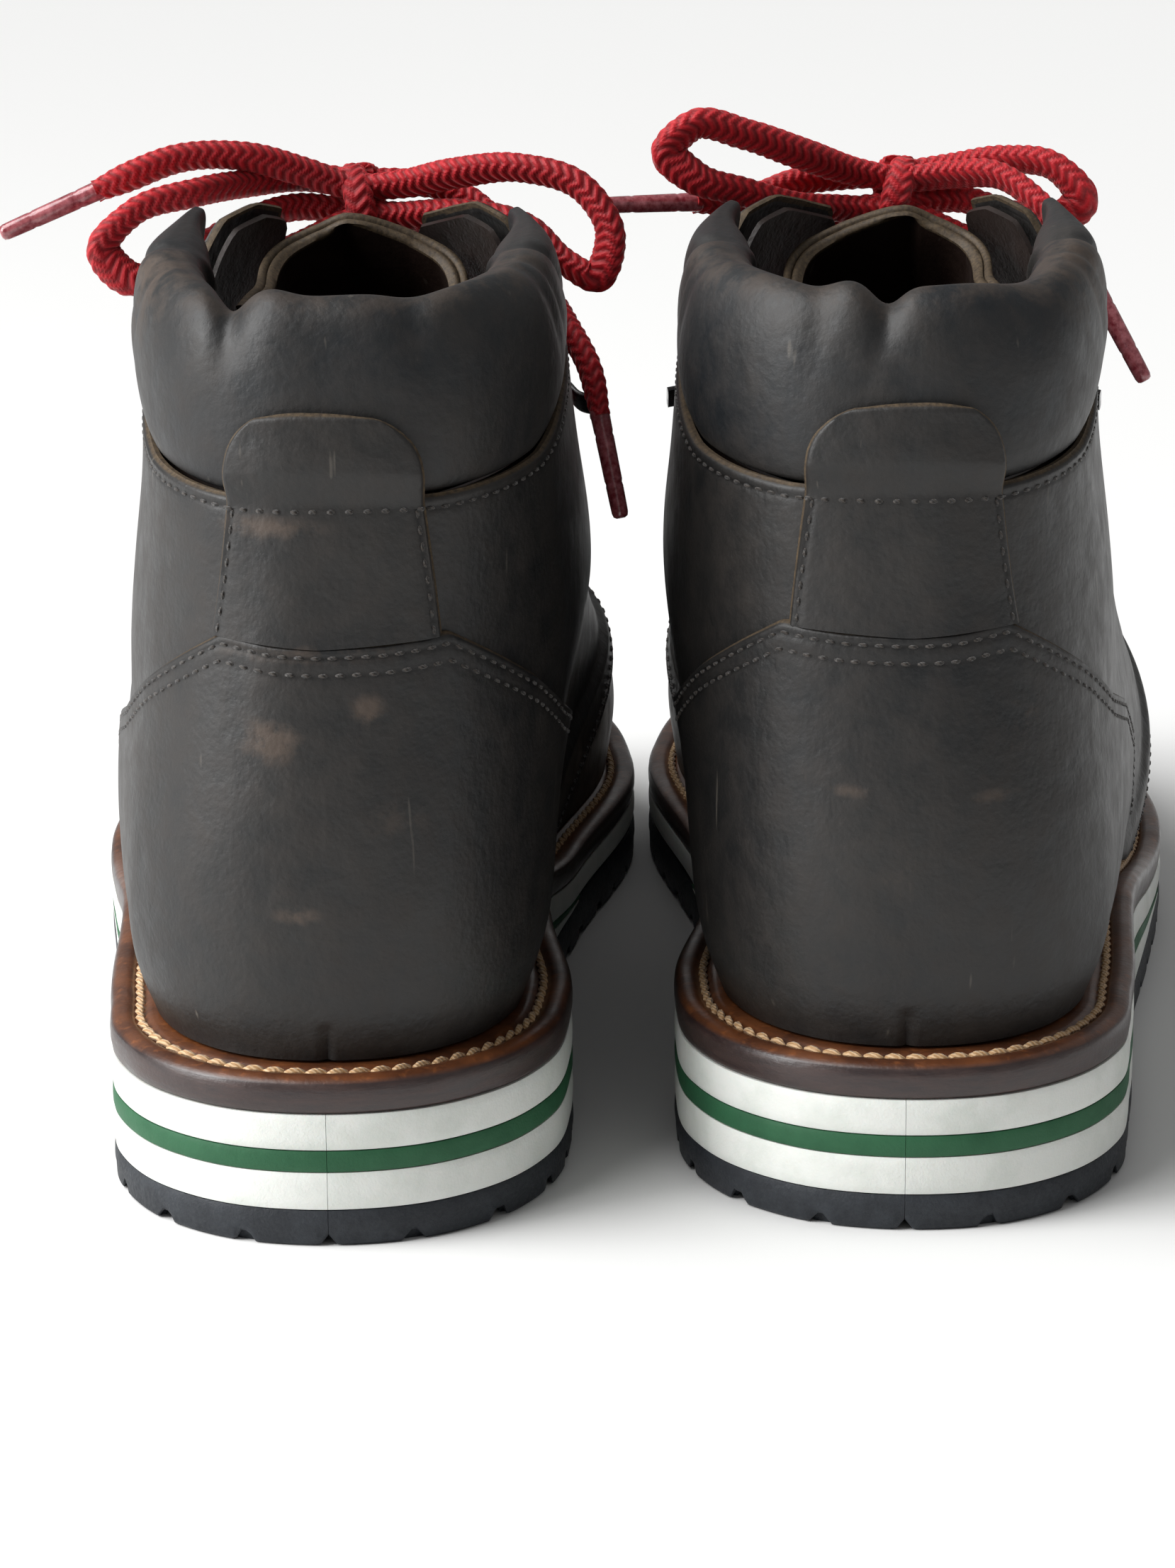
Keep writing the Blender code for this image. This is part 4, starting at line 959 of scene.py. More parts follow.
def make_tongue(boot):
    """A wide two-layer tongue: each column runs up its outside, over a cut
    edge with a groove between the layers, and down the lining side, which has
    a crease up its middle."""
    share = np.linspace(-1, 1, 121)
    rows = edge_shares(60, 90.0, False, True)
    reach = np.abs(bare_upper(1 + share * (1 - TONGUE_WING), 0.9 + 0 * share)[:, 0])
    reach = reach / reach.max()
    top = 0.985 - TONGUE_FALL * np.sqrt(reach**2 + 0.01) - 0.004 * np.sin(share * 7)
    v = TONGUE_ROOT_V + rows[:, None] * (top[None] - TONGUE_ROOT_V)
    half = 0.055 + (1 - TONGUE_WING - 0.055) * smooth(0.42, 0.95, v)
    u = 1 + share[None] * half
    depth = 3.6 + 1.6 * smooth(0.55, 0.9, v)
    depth = depth + 7.2 * smooth(0.66, 0.84, v) * smooth(0.25, 0.75, np.abs(share))[None]
    crease = 1.3 * bump(share, 0.02, 0.035)[None] * smooth(0.5, 0.7, v)
    puff = 0.7 * bump(np.abs(share), 0.42, 0.22)[None] * smooth(0.5, 0.8, v)
    outside = upper(u, v, -depth)
    inside = upper(u, v, -depth - TONGUE_THICK + crease - puff)
    edge_v, edge_u, edge_depth = v[-1], u[-1], depth[-1]
    lip = []
    for share_in, rise in ((0.08, 0.35), (0.25, 0.55), (0.42, 0.35), (0.5, -0.25), (0.58, 0.35),
                           (0.78, 0.6), (0.93, 0.35)):
        spot = upper(edge_u, edge_v, -edge_depth - TONGUE_THICK * share_in)
        up = unit(outside[-1] - outside[-2])
        lip.append(spot + up * rise)
    sections = np.concatenate([outside, np.array(lip), inside[::-1]], axis=0).transpose(1, 0, 2)
    rim = np.concatenate([smooth(0.985, 0.995, rows), np.ones(len(lip)), np.zeros(len(rows))])
    rim[len(rows) + len(lip):len(rows) + len(lip) + 3] = 0.8
    fields = np.concatenate([np.tile(rim, len(share)), [1.0, 1.0]])
    # the groove between the layers is darkened near black by the leather look: painted shade
    groove = np.tile(np.concatenate([0 * rows, [0, 0, 0.6, 1, 0.6, 0, 0], 0 * rows]), len(share))
    finished("tongue_pad", boot, *swept(sections), look="tongue_leather", slot="lining_leather",
             nodes=["tongue"], body="tongue",
             fields={"rim": fields, "groove": np.concatenate([groove, [0, 0]])})


# ---- lace hardware ----------------------------------------------------------
RING_ROWS = [0.425, 0.478]
HOOK_ROWS = [0.54, 0.65]
HARDWARE_SETBACK = {1: (9, 10, 13, 17), -1: (9, 9, 9, 6.5)}   # row by row, by side
HARDWARE_SEAT = 1.6
LEATHER_DESIGN = 1.6
RING_PROFILE = [(-5.2, 1.1), (5.2, 1.1), (6.2, 2.2), (5.8, 6.0), (3.6, 8.8), (0, 9.8), (-3.6, 8.8),
                (-5.8, 6.0), (-6.2, 2.2)]
HOOK_PROFILE = [(6.5, 1.1), (1.8, 1.1), (-2.9, 1.1), (-5.2, 2.6), (-5.5, 5.2), (-3.8, 7.9),
                (0.0, 9.1), (4.0, 9.2), (6.4, 10.8)]


def hardware_frame(side, v):
    """Where a ring or hook stands: base point on the leather, and the unit
    directions away from the gap, up the facing, and out of the leather."""
    edge = facing_u(side, v, HARDWARE_HALF_GAP)[0]
    seat = LEATHER_DESIGN + HARDWARE_SEAT
    nudge = side * 0.02
    back = upper(edge - nudge, v, seat) - upper(edge, v, seat)
    setback = np.interp(v, RING_ROWS + HOOK_ROWS, HARDWARE_SETBACK[side])
    u = edge - nudge * setback / np.linalg.norm(back)
    here = upper(u, v, seat)
    out = upper(u, v, seat + 1) - here
    rise = upper(u, v + 0.01, seat) - here
    rise -= out * rise.dot(out)
    rise = unit(rise)
    away = np.cross(rise, out)
    away *= np.sign(away.dot(back))
    return here, away, rise, out


def superellipse(count, power):
    """Unit superellipse as (count, 2): cosine and sine raised by 2/power."""
    turn = np.linspace(0, 2 * np.pi, count + 1)[:-1]
    wave = np.stack([np.cos(turn), np.sin(turn)], axis=1)
    return np.sign(wave) * np.abs(wave) ** (2 / power)


def strip(profile, width, thick, base, closed, power=4.0):
    """A bar carried along a profile in the (away, out) plane: at each point a
    superellipse, width(share) wide along rise and thick across."""
    here, away, rise, out = base
    walked = arc_lengths(profile)
    steps = np.linspace(0, walked[-1], 64)
    line = hermite(walked, profile, steps)
    if closed:
        line = line[:-1]
        along = np.roll(line, -1, axis=0) - np.roll(line, 1, axis=0)
    else:
        along = np.gradient(line, axis=0)
    along = unit(along)
    normal = np.stack([-along[:, 1], along[:, 0]], axis=1)
    shape = superellipse(16, power)
    share = np.linspace(0, 1, len(line))
    spots = line[:, None] + normal[:, None] * (shape[None, :, 1:] * thick / 2)
    rings = (here + away * spots[..., :1] + out * spots[..., 1:]
             + rise * (shape[None, :, :1] * (width(share) / 2)[:, None, None]))
    if np.dot(np.cross(away, out), rise) > 0:
        rings = rings[:, ::-1]
    return swept(rings, closed=closed)


def dome(base, at, radius, height):
    """A rivet head or base plate: rings of a superellipse that close in as a
    quarter circle to its top."""
    here, away, rise, out = base
    turn = np.linspace(0, np.pi / 2, 8)[:-1]
    shape = superellipse(24, 2.6)
    rings = []
    for a, lift in [(0.0, -1.2)] + [(t, np.sin(t) * height) for t in turn]:
        spot = here + away * at[0] + out * (at[1] + lift)
        reach = np.cos(a) * np.array(radius)
        rings.append(spot + away * shape[:, :1] * reach[0] + rise * shape[:, 1:] * reach[1])
    rings = np.array(rings)
    if np.dot(np.cross(away, rise), out) < 0:
        rings = rings[:, ::-1]
    return swept(rings)


def make_hardware(boot):
    """Rings of round wire in riveted clips, and speed hooks bent from strip."""
    closed_ring = np.array(RING_PROFILE + RING_PROFILE[:1], float)
    for flank, side in FLANKS.items():
        for row, v in enumerate(RING_ROWS, 1):
            base = hardware_frame(side, v)
            ring = strip(closed_ring, lambda share: np.full(len(share), 2.2), 1.7, base, True, 2.2)
            plate = dome(base, (0, -0.4), (6.8, 3.6), 1.1)
            clip = dome(base, (0, 0.5), (2.2, 3.0), 1.7)
            finished(f"ring_{flank}_{row}", boot, *gather([ring, plate, clip]), look="black_enamel",
                     slot="black_enamel", nodes=[f"lace_ring_{flank}_{row}"])
        for row, v in enumerate(HOOK_ROWS, 1):
            base = hardware_frame(side, v)

            def width(share):
                return 5.4 - 1.8 * bump(share, 0.45, 0.18) + 1.0 * smooth(0.75, 0.95, share)
            hook = strip(np.array(HOOK_PROFILE, float), width, 1.3, base, False)
            plate = dome(base, (2.0, -0.4), (5.6, 3.8), 0.9)
            rivet = dome(base, (2.6, 1.6), (2.1, 2.1), 0.8)
            finished(f"hook_{flank}_{row}", boot, *gather([hook, plate, rivet]), look="black_enamel",
                     slot="black_enamel", nodes=[f"speed_hook_{flank}_{row}"])


# ---- laces ------------------------------------------------------------------
LACE_RIDE = 5.3               # a strand's middle above the leather in a ring
UNDER, OVER = 0.8, 8.2        # two crossing strands' middles above the gap
AGLET_LENGTH, AGLET_WIDTH = 20.0, 3.6
LACE_SIDES = 32
LACE_STEP = 0.42
BRAID = 1.9                   # length of one chevron of the plait

# The bow's routes, plan frame in mm.  Each side starts where the
# strand leaves its top hook for the knot and ends where its aglet begins; the
# first one comes from the lateral hook and the second from the medial hook.
BOWS = {
    "left": (
        [(-31, -15, 130), (-20, -12, 140), (-9, -15, 145.5), (0, -17, 149.5), (10, -17.5, 150.5),
         (22, -22, 151.5), (33, -27, 149), (39, -29, 143.5), (44.5, -31, 141), (47.3, -32, 149),
         (42.5, -31, 157), (31, -28, 160.5), (19, -23, 159), (9, -18.5, 156.5), (0, -17, 156),
         (-9, -19, 159), (-20, -23.5, 162.5), (-31, -26.5, 162.5), (-40, -29, 159.5), (-46, -30, 157)],
        [(31, -14, 130), (24, -10, 142), (11, -10, 149), (0, -11.5, 150.5), (-10, -13, 151.8),
         (-22, -22, 149), (-32, -29, 144), (-40, -33, 141.5), (-44.5, -34, 147),
         (-39, -33, 153.5), (-28, -28.5, 156.5), (-18, -18.5, 157), (-9, -12.5, 157.2),
         (0, -11.5, 156), (9, -11, 156), (18, -11.5, 154.5), (28, -16.5, 147.5), (34.5, -26, 139.5),
         (39.5, -37, 133), (43.5, -43, 126), (45.3, -46, 118)],
    ),
    "right": (
        [(-31, -15, 130), (-20, -12, 140), (-9, -15, 145.5), (0, -17, 149.5), (10, -17.5, 150.5),
         (20, -22, 151.5), (30, -27, 155), (38.5, -30, 158), (43, -31, 162.8), (38.5, -31, 167.5),
         (29, -28.5, 165.5), (19, -24, 161.5), (9, -18.5, 157.5), (0, -17, 156), (-9, -18.5, 157),
         (-17, -23, 157.5), (-25, -29, 152.5), (-31, -33, 145), (-35, -35, 138)],
        [(31, -14, 130), (24, -10, 142), (11, -10, 149), (0, -11.3, 150.5), (-10, -12.5, 151.8),
         (-20, -16, 149.5), (-28, -20, 148.5), (-32.5, -22.5, 153), (-28, -21, 158.5),
         (-19, -16.5, 159.5), (-9, -12.5, 157.5), (0, -11.3, 156.2), (9, -11, 155.8), (20, -14, 155),
         (29, -19, 152.5), (38.5, -23, 152.5)],
    ),
}


def row_pass(side, v):
    """A strand's three points through a ring or hook, bottom to top."""
    here, away, rise, out = hardware_frame(side, v)
    middle = here + out * LACE_RIDE
    return [middle - rise * 4.8 - away * 4, middle + away * 0.6, middle + rise * 4.8 - away * 4]


def lacing(side):
    """One strand's climb from the bottom row to the top hook, starting on one
    side and crossing the gap after every row, over and under by turns."""
    rows = RING_ROWS + HOOK_ROWS
    points, goes_over = [], side > 0
    for k, v in enumerate(rows):
        points += row_pass(side, v)
        if k + 1 < len(rows):
            middle = (v + rows[k + 1]) / 2
            middle += 0.02 * (1 - smooth(0.5, 0.65, middle))
            points.append(upper(1.0, middle, OVER if goes_over else UNDER))
            side, goes_over = -side, not goes_over
    return points[1:-1] + [points[-1]]


def lace_line(boot):
    """The whole lace as a fine smooth line: down one chain of crossings from
    the first aglet, over at the bottom row and up the other chain."""
    first, second = BOWS[boot]
    bar = [upper(1.0, RING_ROWS[0] + 0.004, 5.0)]
    route = np.array(first[::-1] + lacing(1)[::-1] + bar + lacing(-1) + second)
    knots = arc_lengths(route)
    return hermite(knots, route, np.linspace(0, knots[-1], int(knots[-1] / LACE_STEP)))


def eased(values, width):
    """Each row of values averaged with its neighbours within width rows."""
    kernel = np.hanning(2 * width + 3)[1:-1]
    kernel /= kernel.sum()
    padded = np.concatenate([np.repeat(values[:1], width, 0), values, np.repeat(values[-1:], width, 0)])
    return np.stack([np.convolve(column, kernel, "valid") for column in padded.T], axis=1)


def braided(line, wide, thick, squeezes=(), facing=None):
    """A flat oval braid carried along a line.  The flat side faces out of the
    boot, and the surface rises and falls in chevrons where its strands
    change direction, and it is squeezed where a ring or hook holds it."""
    along = unit(np.gradient(line, axis=0))
    walked = arc_lengths(line)
    if facing is None:
        facing = np.column_stack([line[:, 0] * 0.016, np.full(len(line), 0.62), np.full(len(line), 0.78)])
    normal = unit(facing - along * (facing * along).sum(1, keepdims=True))
    normal = unit(eased(normal, 24))
    normal = unit(normal - along * (normal * along).sum(1, keepdims=True))
    side = np.cross(normal, along)
    turn = np.linspace(0, 2 * np.pi, LACE_SIDES + 1)[:-1]
    shape = superellipse(LACE_SIDES, 2.3)
    column = 4 * turn[None] / (2 * np.pi) + 0.15
    zigzag = 2 * np.abs(column % 1 - 0.5)
    plait = 0.5 + 0.5 * np.sin(2 * np.pi * (walked[:, None] / BRAID + 0.8 * zigzag))
    plait = plait * (1 - 0.35 * bump(zigzag, 1, 0.12) - 0.25 * bump(zigzag, 0, 0.12))
    swell = 1 + 0.035 * np.sin(walked * 0.21) + 0.025 * np.sin(walked * 0.083 + 1)
    ends = 1 - 0.22 * (bump(walked, 0, 4) + bump(walked, walked[-1], 4))
    rise = 0.24 * plait[..., None]
    size = np.stack([np.full(len(line), wide / 2), np.full(len(line), thick / 2)], axis=1)
    held = np.zeros(len(line))
    for spot in squeezes:
        held = np.maximum(held, bump(np.linalg.norm(line - spot, axis=1), 0, 6))
    size[:, 0] -= held * np.maximum(wide - 4.9, 0) / 2
    size = size * (swell * ends)[:, None] - 0.18
    rings = (line[:, None] + side[:, None] * (shape[None, :, :1] * (size[:, None, :1] + rise))
             + normal[:, None] * (shape[None, :, 1:] * (size[:, None, 1:] + rise)))
    uvs = np.stack(np.broadcast_arrays(turn[None] / (2 * np.pi), walked[:, None] / 10), axis=-1)
    return rings, plait, uvs


def make_aglet(name, boot, node, end, along):
    """A tube of clear film rolled over the lace's end: rings that narrow to a
    rounded tip, with two crimped grooves."""
    along = unit(along)
    across_it = unit(np.cross(along, (0, 0, 1.0)))
    up = np.cross(across_it, along)
    walked = np.array([0.0, 0.15, 0.5, 2, 4, 4.6, 5.2, 9, 13, 13.6, 14.2, 17, 19, 19.7, AGLET_LENGTH])
    width = np.array([0.86, 0.98, 1, 0.98, 0.96, 0.88, 0.95, 0.92, 0.9, 0.82, 0.88, 0.86, 0.83, 0.72, 0.45])
    turn = np.linspace(0, 2 * np.pi, 25)[:-1][:, None]
    circle = np.cos(turn) * across_it - np.sin(turn) * up
    rings = end + along * (walked - 1.2)[:, None, None] + circle * (width * AGLET_WIDTH / 2)[:, None, None]
    return finished(name, boot, *swept(rings), look="aglet_film", slot="aglet_film", nodes=[node])


KNOT_MIDDLE, KNOT_REACH = (0.6, -14.4, 152.9), (0.0, 6.0, 5.8)


def make_knot(boot, sizes):
    """The wrap that binds the middle of the bow: one turn round its strands,
    made as its own short length of the same braid."""
    turn = np.linspace(0, 2 * np.pi, 110)
    around = np.column_stack([0 * turn, np.sin(turn), np.cos(turn)])
    line = np.array(KNOT_MIDDLE) + around * KNOT_REACH
    line[:, 0] += 2.2 * np.sin(turn / 2 + 0.4)
    rings, plait, _ = braided(line, 0.86 * sizes.lace_width / MM, 0.8 * sizes.lace_thickness / MM,
                              facing=around)
    finished("lace_knot", boot, *swept(rings), look="braided_polyester", slot="red_braid",
             fields={"plait": np.concatenate([plait.ravel(), [0, 0]])})


def make_lace(boot, sizes):
    """The braided lace, flat and oval, with its two aglets."""
    line = lace_line(boot)
    squeezes = [row_pass(side, v)[1] for side in FLANKS.values() for v in RING_ROWS + HOOK_ROWS]
    rings, plait, uvs = braided(line, sizes.lace_width / MM, sizes.lace_thickness / MM, squeezes)
    points, quads, tris = swept(rings)
    lace = finished("braided_lace", boot, points, quads, tris, look="braided_polyester",
                    slot="red_braid", nodes=["lace"],
                    unwrap=np.concatenate([uvs.reshape(-1, 2), [[0, 0]] * 2]),
                    fields={"plait": np.concatenate([plait.ravel(), [0, 0]])})
    tips = [make_aglet("lace_tip_1", boot, "aglet_1", line[0], line[0] - line[4]),
            make_aglet("lace_tip_2", boot, "aglet_2", line[-1], line[-1] - line[-5])]
    path = place(line[::6], boot)
    path = np.concatenate([path, place(line[-1:], boot)])


# ---- finishes ---------------------------------------------------------------
LOOKS = {}


def linear(colour):
    """An sRGB hex colour as linear RGBA; a colour that is already linear, or a
    socket that carries one, is passed on."""
    if not isinstance(colour, str):
        return colour
    parts = [int(colour[i:i + 2], 16) / 255 for i in (1, 3, 5)]
    return (*[c / 12.92 if c <= 0.04045 else ((c + 0.055) / 1.055) ** 2.4 for c in parts], 1.0)


def add(tree, kind, inputs, out=0, **settings):
    """Adds a shader node: settings are its properties, inputs its sockets'
    values or the sockets that feed them.  Returns its output called out."""
    node = tree.nodes.new("ShaderNode" + kind)
    for key, value in settings.items():
        setattr(node, key, value)
    for key, value in inputs.items():
        if isinstance(value, bpy.types.NodeSocket):
            tree.links.new(value, node.inputs[key])
        else:
            node.inputs[key].default_value = value
    return node.outputs[out]


def new_look(name, roughness, **sockets):
    """A material with its shader's own sockets set; returns its tree, shader
    and Object coordinates in millimetres."""
    look = bpy.data.materials.new(name)
    look.use_nodes = True
    LOOKS[name] = look
    tree = look.node_tree
    shader = tree.nodes["Principled BSDF"]
    shader.inputs["Roughness"].default_value = roughness
    for socket, value in sockets.items():
        shader.inputs[socket.replace("_", " ")].default_value = value
    where = add(tree, "TexCoord", {}, "Object")
    return tree, shader, add(tree, "VectorMath", {0: where, "Scale": 1 / MM}, operation="SCALE")


def layered(tree, colour, *layers):
    """A colour with others laid over it.  A layer is (mask, low, high, most,
    colour): it covers nothing where its mask is low, and most where it's high."""
    for mask, low, high, most, over in layers:
        share = add(tree, "MapRange", {"Value": mask, "From Min": low, "From Max": high, "To Max": most})
        colour = add(tree, "Mix", {0: share, 6: linear(colour), 7: linear(over)}, 2, data_type="RGBA")
    return colour


def finish(tree, shader, colour, gloss, *relief):
    """Joins up a look: its colour, its gloss as (mask, low, high, roughness
    there, roughness here), and relief as (height, depth in mm) one by one."""
    tree.links.new(colour, shader.inputs["Base Color"])
    if gloss:
        keys = ("Value", "From Min", "From Max", "To Min", "To Max")
        tree.links.new(add(tree, "MapRange", dict(zip(keys, gloss))), shader.inputs["Roughness"])
    below = {}
    for height, depth in relief:
        raised = add(tree, "Bump", {"Height": height, "Distance": depth * MM, "Strength": 1.0, **below})
        below = {"Normal": raised}
        tree.links.new(raised, shader.inputs["Normal"])


def leather_look(name, colour, tint, rub, shine, grain=0.9, scuffs=1.0):
    """Oiled leather, drum-dyed and waxed: a fine pebble grain of about 1 mm,
    slow dark and light clouds where the oil has moved, paler rubbed patches,
    hairline scratches, brown cut edges and painted shade darkening the stitch grooves."""
    tree, shader, where = new_look(name, shine, Specular_IOR_Level=0.36, Coat_Weight=0.06,
                                   Coat_Roughness=0.42)
    cloud = add(tree, "TexNoise", {"Vector": where, "Scale": 1 / 34, "Detail": 5, "Roughness": 0.6})
    mottle = add(tree, "TexNoise", {"Vector": where, "Scale": 1 / 5.5, "Detail": 5, "Roughness": 0.65})
    stroked = add(tree, "Mapping", {"Vector": where, "Scale": (1, 1, 0.55), "Rotation": (0.3, 0.2, 0)})
    patch = add(tree, "TexNoise", {"Vector": stroked, "Scale": 1 / 17, "Detail": 6, "Roughness": 0.7})
    drawn = add(tree, "Mapping", {"Vector": where, "Scale": (1, 0.9, 0.07), "Rotation": (0.5, 0.35, 0.9)})
    scratch = add(tree, "TexNoise", {"Vector": drawn, "Scale": 1 / 2.2, "Detail": 2, "Roughness": 0.5})
    hide = add(tree, "TexNoise", {"Vector": where, "Scale": 1 / 0.5, "Detail": 4, "Roughness": 0.55})
    fibre = add(tree, "TexNoise", {"Vector": where, "Scale": 1 / 0.8, "Detail": 3, "Roughness": 0.7})
    pebble = add(tree, "TexVoronoi", {"Vector": where, "Scale": 1 / grain}, "Distance", feature="SMOOTH_F1")
    groove, rim, marks = (add(tree, "Attribute", {}, "Fac", attribute_name=field)
                          for field in ("groove", "rim", "rubbed"))
    ragged = add(tree, "MapRange", {"Value": mottle, "From Min": 0.3, "From Max": 0.6})
    marks = add(tree, "Math", {0: marks, 1: ragged}, operation="MULTIPLY")
    marks = add(tree, "MapRange", {"Value": marks, "From Min": 0.12, "From Max": 0.55, "To Max": 0.9})
    worn = add(tree, "MapRange", {"Value": patch, "From Min": 0.69, "From Max": 0.82,
                                  "To Max": 0.45 * scuffs})
    worn = add(tree, "Math", {0: worn, 1: marks}, operation="MAXIMUM")
    cut = layered(tree, "#2e251c", (fibre, 0.3, 0.7, 1, "#574834"))
    # painted shade: where the groove field is high (stitch grooves, the tongue's layer groove) the colour
    # goes near black
    colour = layered(tree, colour, (cloud, 0.36, 0.66, 1, tint), (mottle, 0.35, 0.7, 0.16, rub),
                     (worn, 0, 1, 1, rub), (scratch, 0.72, 0.79, 0.55 * scuffs, "#6d675f"),
                     (groove, 0.2, 0.9, 0.85, "#0d0b0a"), (rim, 0.35, 0.8, 1, cut))
    finish(tree, shader, colour, None, (cloud, 1.2), (pebble, 0.055), (hide, 0.05), (scratch, 0.05),
           (mottle, 0.16))
    dull = add(tree, "MapRange", {"Value": mottle, "From Min": 0.3, "From Max": 0.7,
                                  "To Min": shine - 0.06, "To Max": shine + 0.10})
    raw = add(tree, "MapRange", {"Value": rim, "From Min": 0.3, "From Max": 0.8, "To Max": 0.3})
    tree.links.new(add(tree, "Math", {0: dull, 1: raw}, operation="ADD"), shader.inputs["Roughness"])


def lining_look(colour):
    """Smooth vegetable lining leather: near black brown, a soft shine and
    very fine pores."""
    tree, shader, where = new_look("lining_leather", 0.42, Specular_IOR_Level=0.4)
    cloud = add(tree, "TexNoise", {"Vector": where, "Scale": 1 / 12, "Detail": 4, "Roughness": 0.55})
    pores = add(tree, "TexNoise", {"Vector": where, "Scale": 1 / 0.6, "Detail": 3, "Roughness": 0.55})
    finish(tree, shader, layered(tree, colour, (cloud, 0.35, 0.7, 1, "#271b16")),
           (cloud, 0.3, 0.7, 0.36, 0.55), (cloud, 0.5), (pores, 0.06))


def welt_look(side, top):
    """Waxed welt leather: a dark side with drawn-out fibres, darkened partly for its
    burnished finish and partly as painted shade, and an orange brown grain side on top that darkens in
    blotches."""
    tree, shader, where = new_look("welt_leather", 0.36, Specular_IOR_Level=0.5, Coat_Weight=0.2,
                                   Coat_Roughness=0.3)
    topside = add(tree, "Attribute", {}, "Fac", attribute_name="topside")
    drawn = add(tree, "Mapping", {"Vector": where, "Scale": (0.35, 0.35, 2.2)})
    fibres = add(tree, "TexNoise", {"Vector": drawn, "Scale": 1 / 3, "Detail": 5, "Roughness": 0.7})
    stain = add(tree, "TexNoise", {"Vector": where, "Scale": 1 / 11, "Detail": 5, "Roughness": 0.65})
    fleck = add(tree, "TexNoise", {"Vector": where, "Scale": 1 / 2.4, "Detail": 4, "Roughness": 0.55})
    pores = add(tree, "TexNoise", {"Vector": where, "Scale": 1 / 0.9, "Detail": 4, "Roughness": 0.55})
    # painted shade: the side colour is dark partly for its burnished finish and partly for the shade on the
    # welt's side
    edge = layered(tree, side, (fibres, 0.35, 0.7, 0.55, "#4d3731"), (stain, 0.5, 0.72, 0.8, "#2a1d1c"))
    grain = layered(tree, top, (stain, 0.35, 0.65, 1, "#452616"), (fleck, 0.55, 0.75, 0.6, "#96592e"))
    finish(tree, shader, layered(tree, edge, (topside, 0.25, 0.85, 1, grain)),
           (fibres, 0.3, 0.7, 0.28, 0.48), (fibres, 0.12), (pores, 0.07))


def thread_look(name, light, dark):
    """Waxed linen thread, soft and matt: twisted plies painted as slanting bands of
    light on their crowns and shade between them, drawn about 1 mm wide, as coarse as they need to be."""
    tree, shader, where = new_look(name, 0.55, Sheen_Weight=0.25)
    ply = add(tree, "TexWave", {"Vector": where, "Scale": 0.55, "Distortion": 3.0}, "Fac",
              bands_direction="DIAGONAL")
    soil = add(tree, "TexNoise", {"Vector": where, "Scale": 1 / 6, "Detail": 3, "Roughness": 0.55})
    # painted light and shade: the ply bands lighten the twist's crowns and darken the grooves between plies
    colour = layered(tree, dark, (ply, 0.15, 0.6, 1, light), (soil, 0.45, 0.75, 0.4, dark))
    finish(tree, shader, colour, None, (ply, 0.15))


def foam_look(name, colour, shade):
    """Moulded microcellular foam: matt, with closed pores of about 0.4 mm,
    faint grey soiling and shallow mould waves."""
    tree, shader, where = new_look(name, 0.62, Specular_IOR_Level=0.35, Subsurface_Weight=0.05,
                                   Subsurface_Scale=1.5 * MM)
    soil = add(tree, "TexNoise", {"Vector": where, "Scale": 1 / 9, "Detail": 5, "Roughness": 0.6})
    pores = add(tree, "TexNoise", {"Vector": where, "Scale": 1 / 0.45, "Detail": 2, "Roughness": 0.55})
    finish(tree, shader, layered(tree, colour, (soil, 0.45, 0.75, 0.7, shade)),
           (soil, 0.3, 0.7, 0.55, 0.7), (soil, 0.25), (pores, 0.05))


def rubber_look(colour):
    """Vulcanised tread rubber: blue black, a dusty bloom in its low places
    and a fine spark-eroded texture."""
    tree, shader, where = new_look("moulded_rubber", 0.6, Specular_IOR_Level=0.45)
    bloom = add(tree, "TexNoise", {"Vector": where, "Scale": 1 / 7, "Detail": 6, "Roughness": 0.7})
    grit = add(tree, "TexNoise", {"Vector": where, "Scale": 1 / 0.7, "Detail": 4, "Roughness": 0.7})
    finish(tree, shader, layered(tree, colour, (bloom, 0.45, 0.75, 0.5, "#3a3f45")),
           (grit, 0.3, 0.7, 0.5, 0.78), (bloom, 0.4), (grit, 0.12))


def enamel_look():
    """Stove enamel on pressed steel: black and glossy, rubbed to a dull grey
    where the lace runs."""
    tree, shader, where = new_look("black_enamel", 0.25, Coat_Weight=0.5, Coat_Roughness=0.15)
    wear = add(tree, "TexNoise", {"Vector": where, "Scale": 1 / 1.8, "Detail": 5, "Roughness": 0.65})
    peel = add(tree, "TexNoise", {"Vector": where, "Scale": 1 / 1.1, "Detail": 3, "Roughness": 0.55})
    finish(tree, shader, layered(tree, "#0b0c0e", (wear, 0.62, 0.75, 0.7, "#3c3f42")),
           (wear, 0.4, 0.75, 0.2, 0.5), (peel, 0.03))


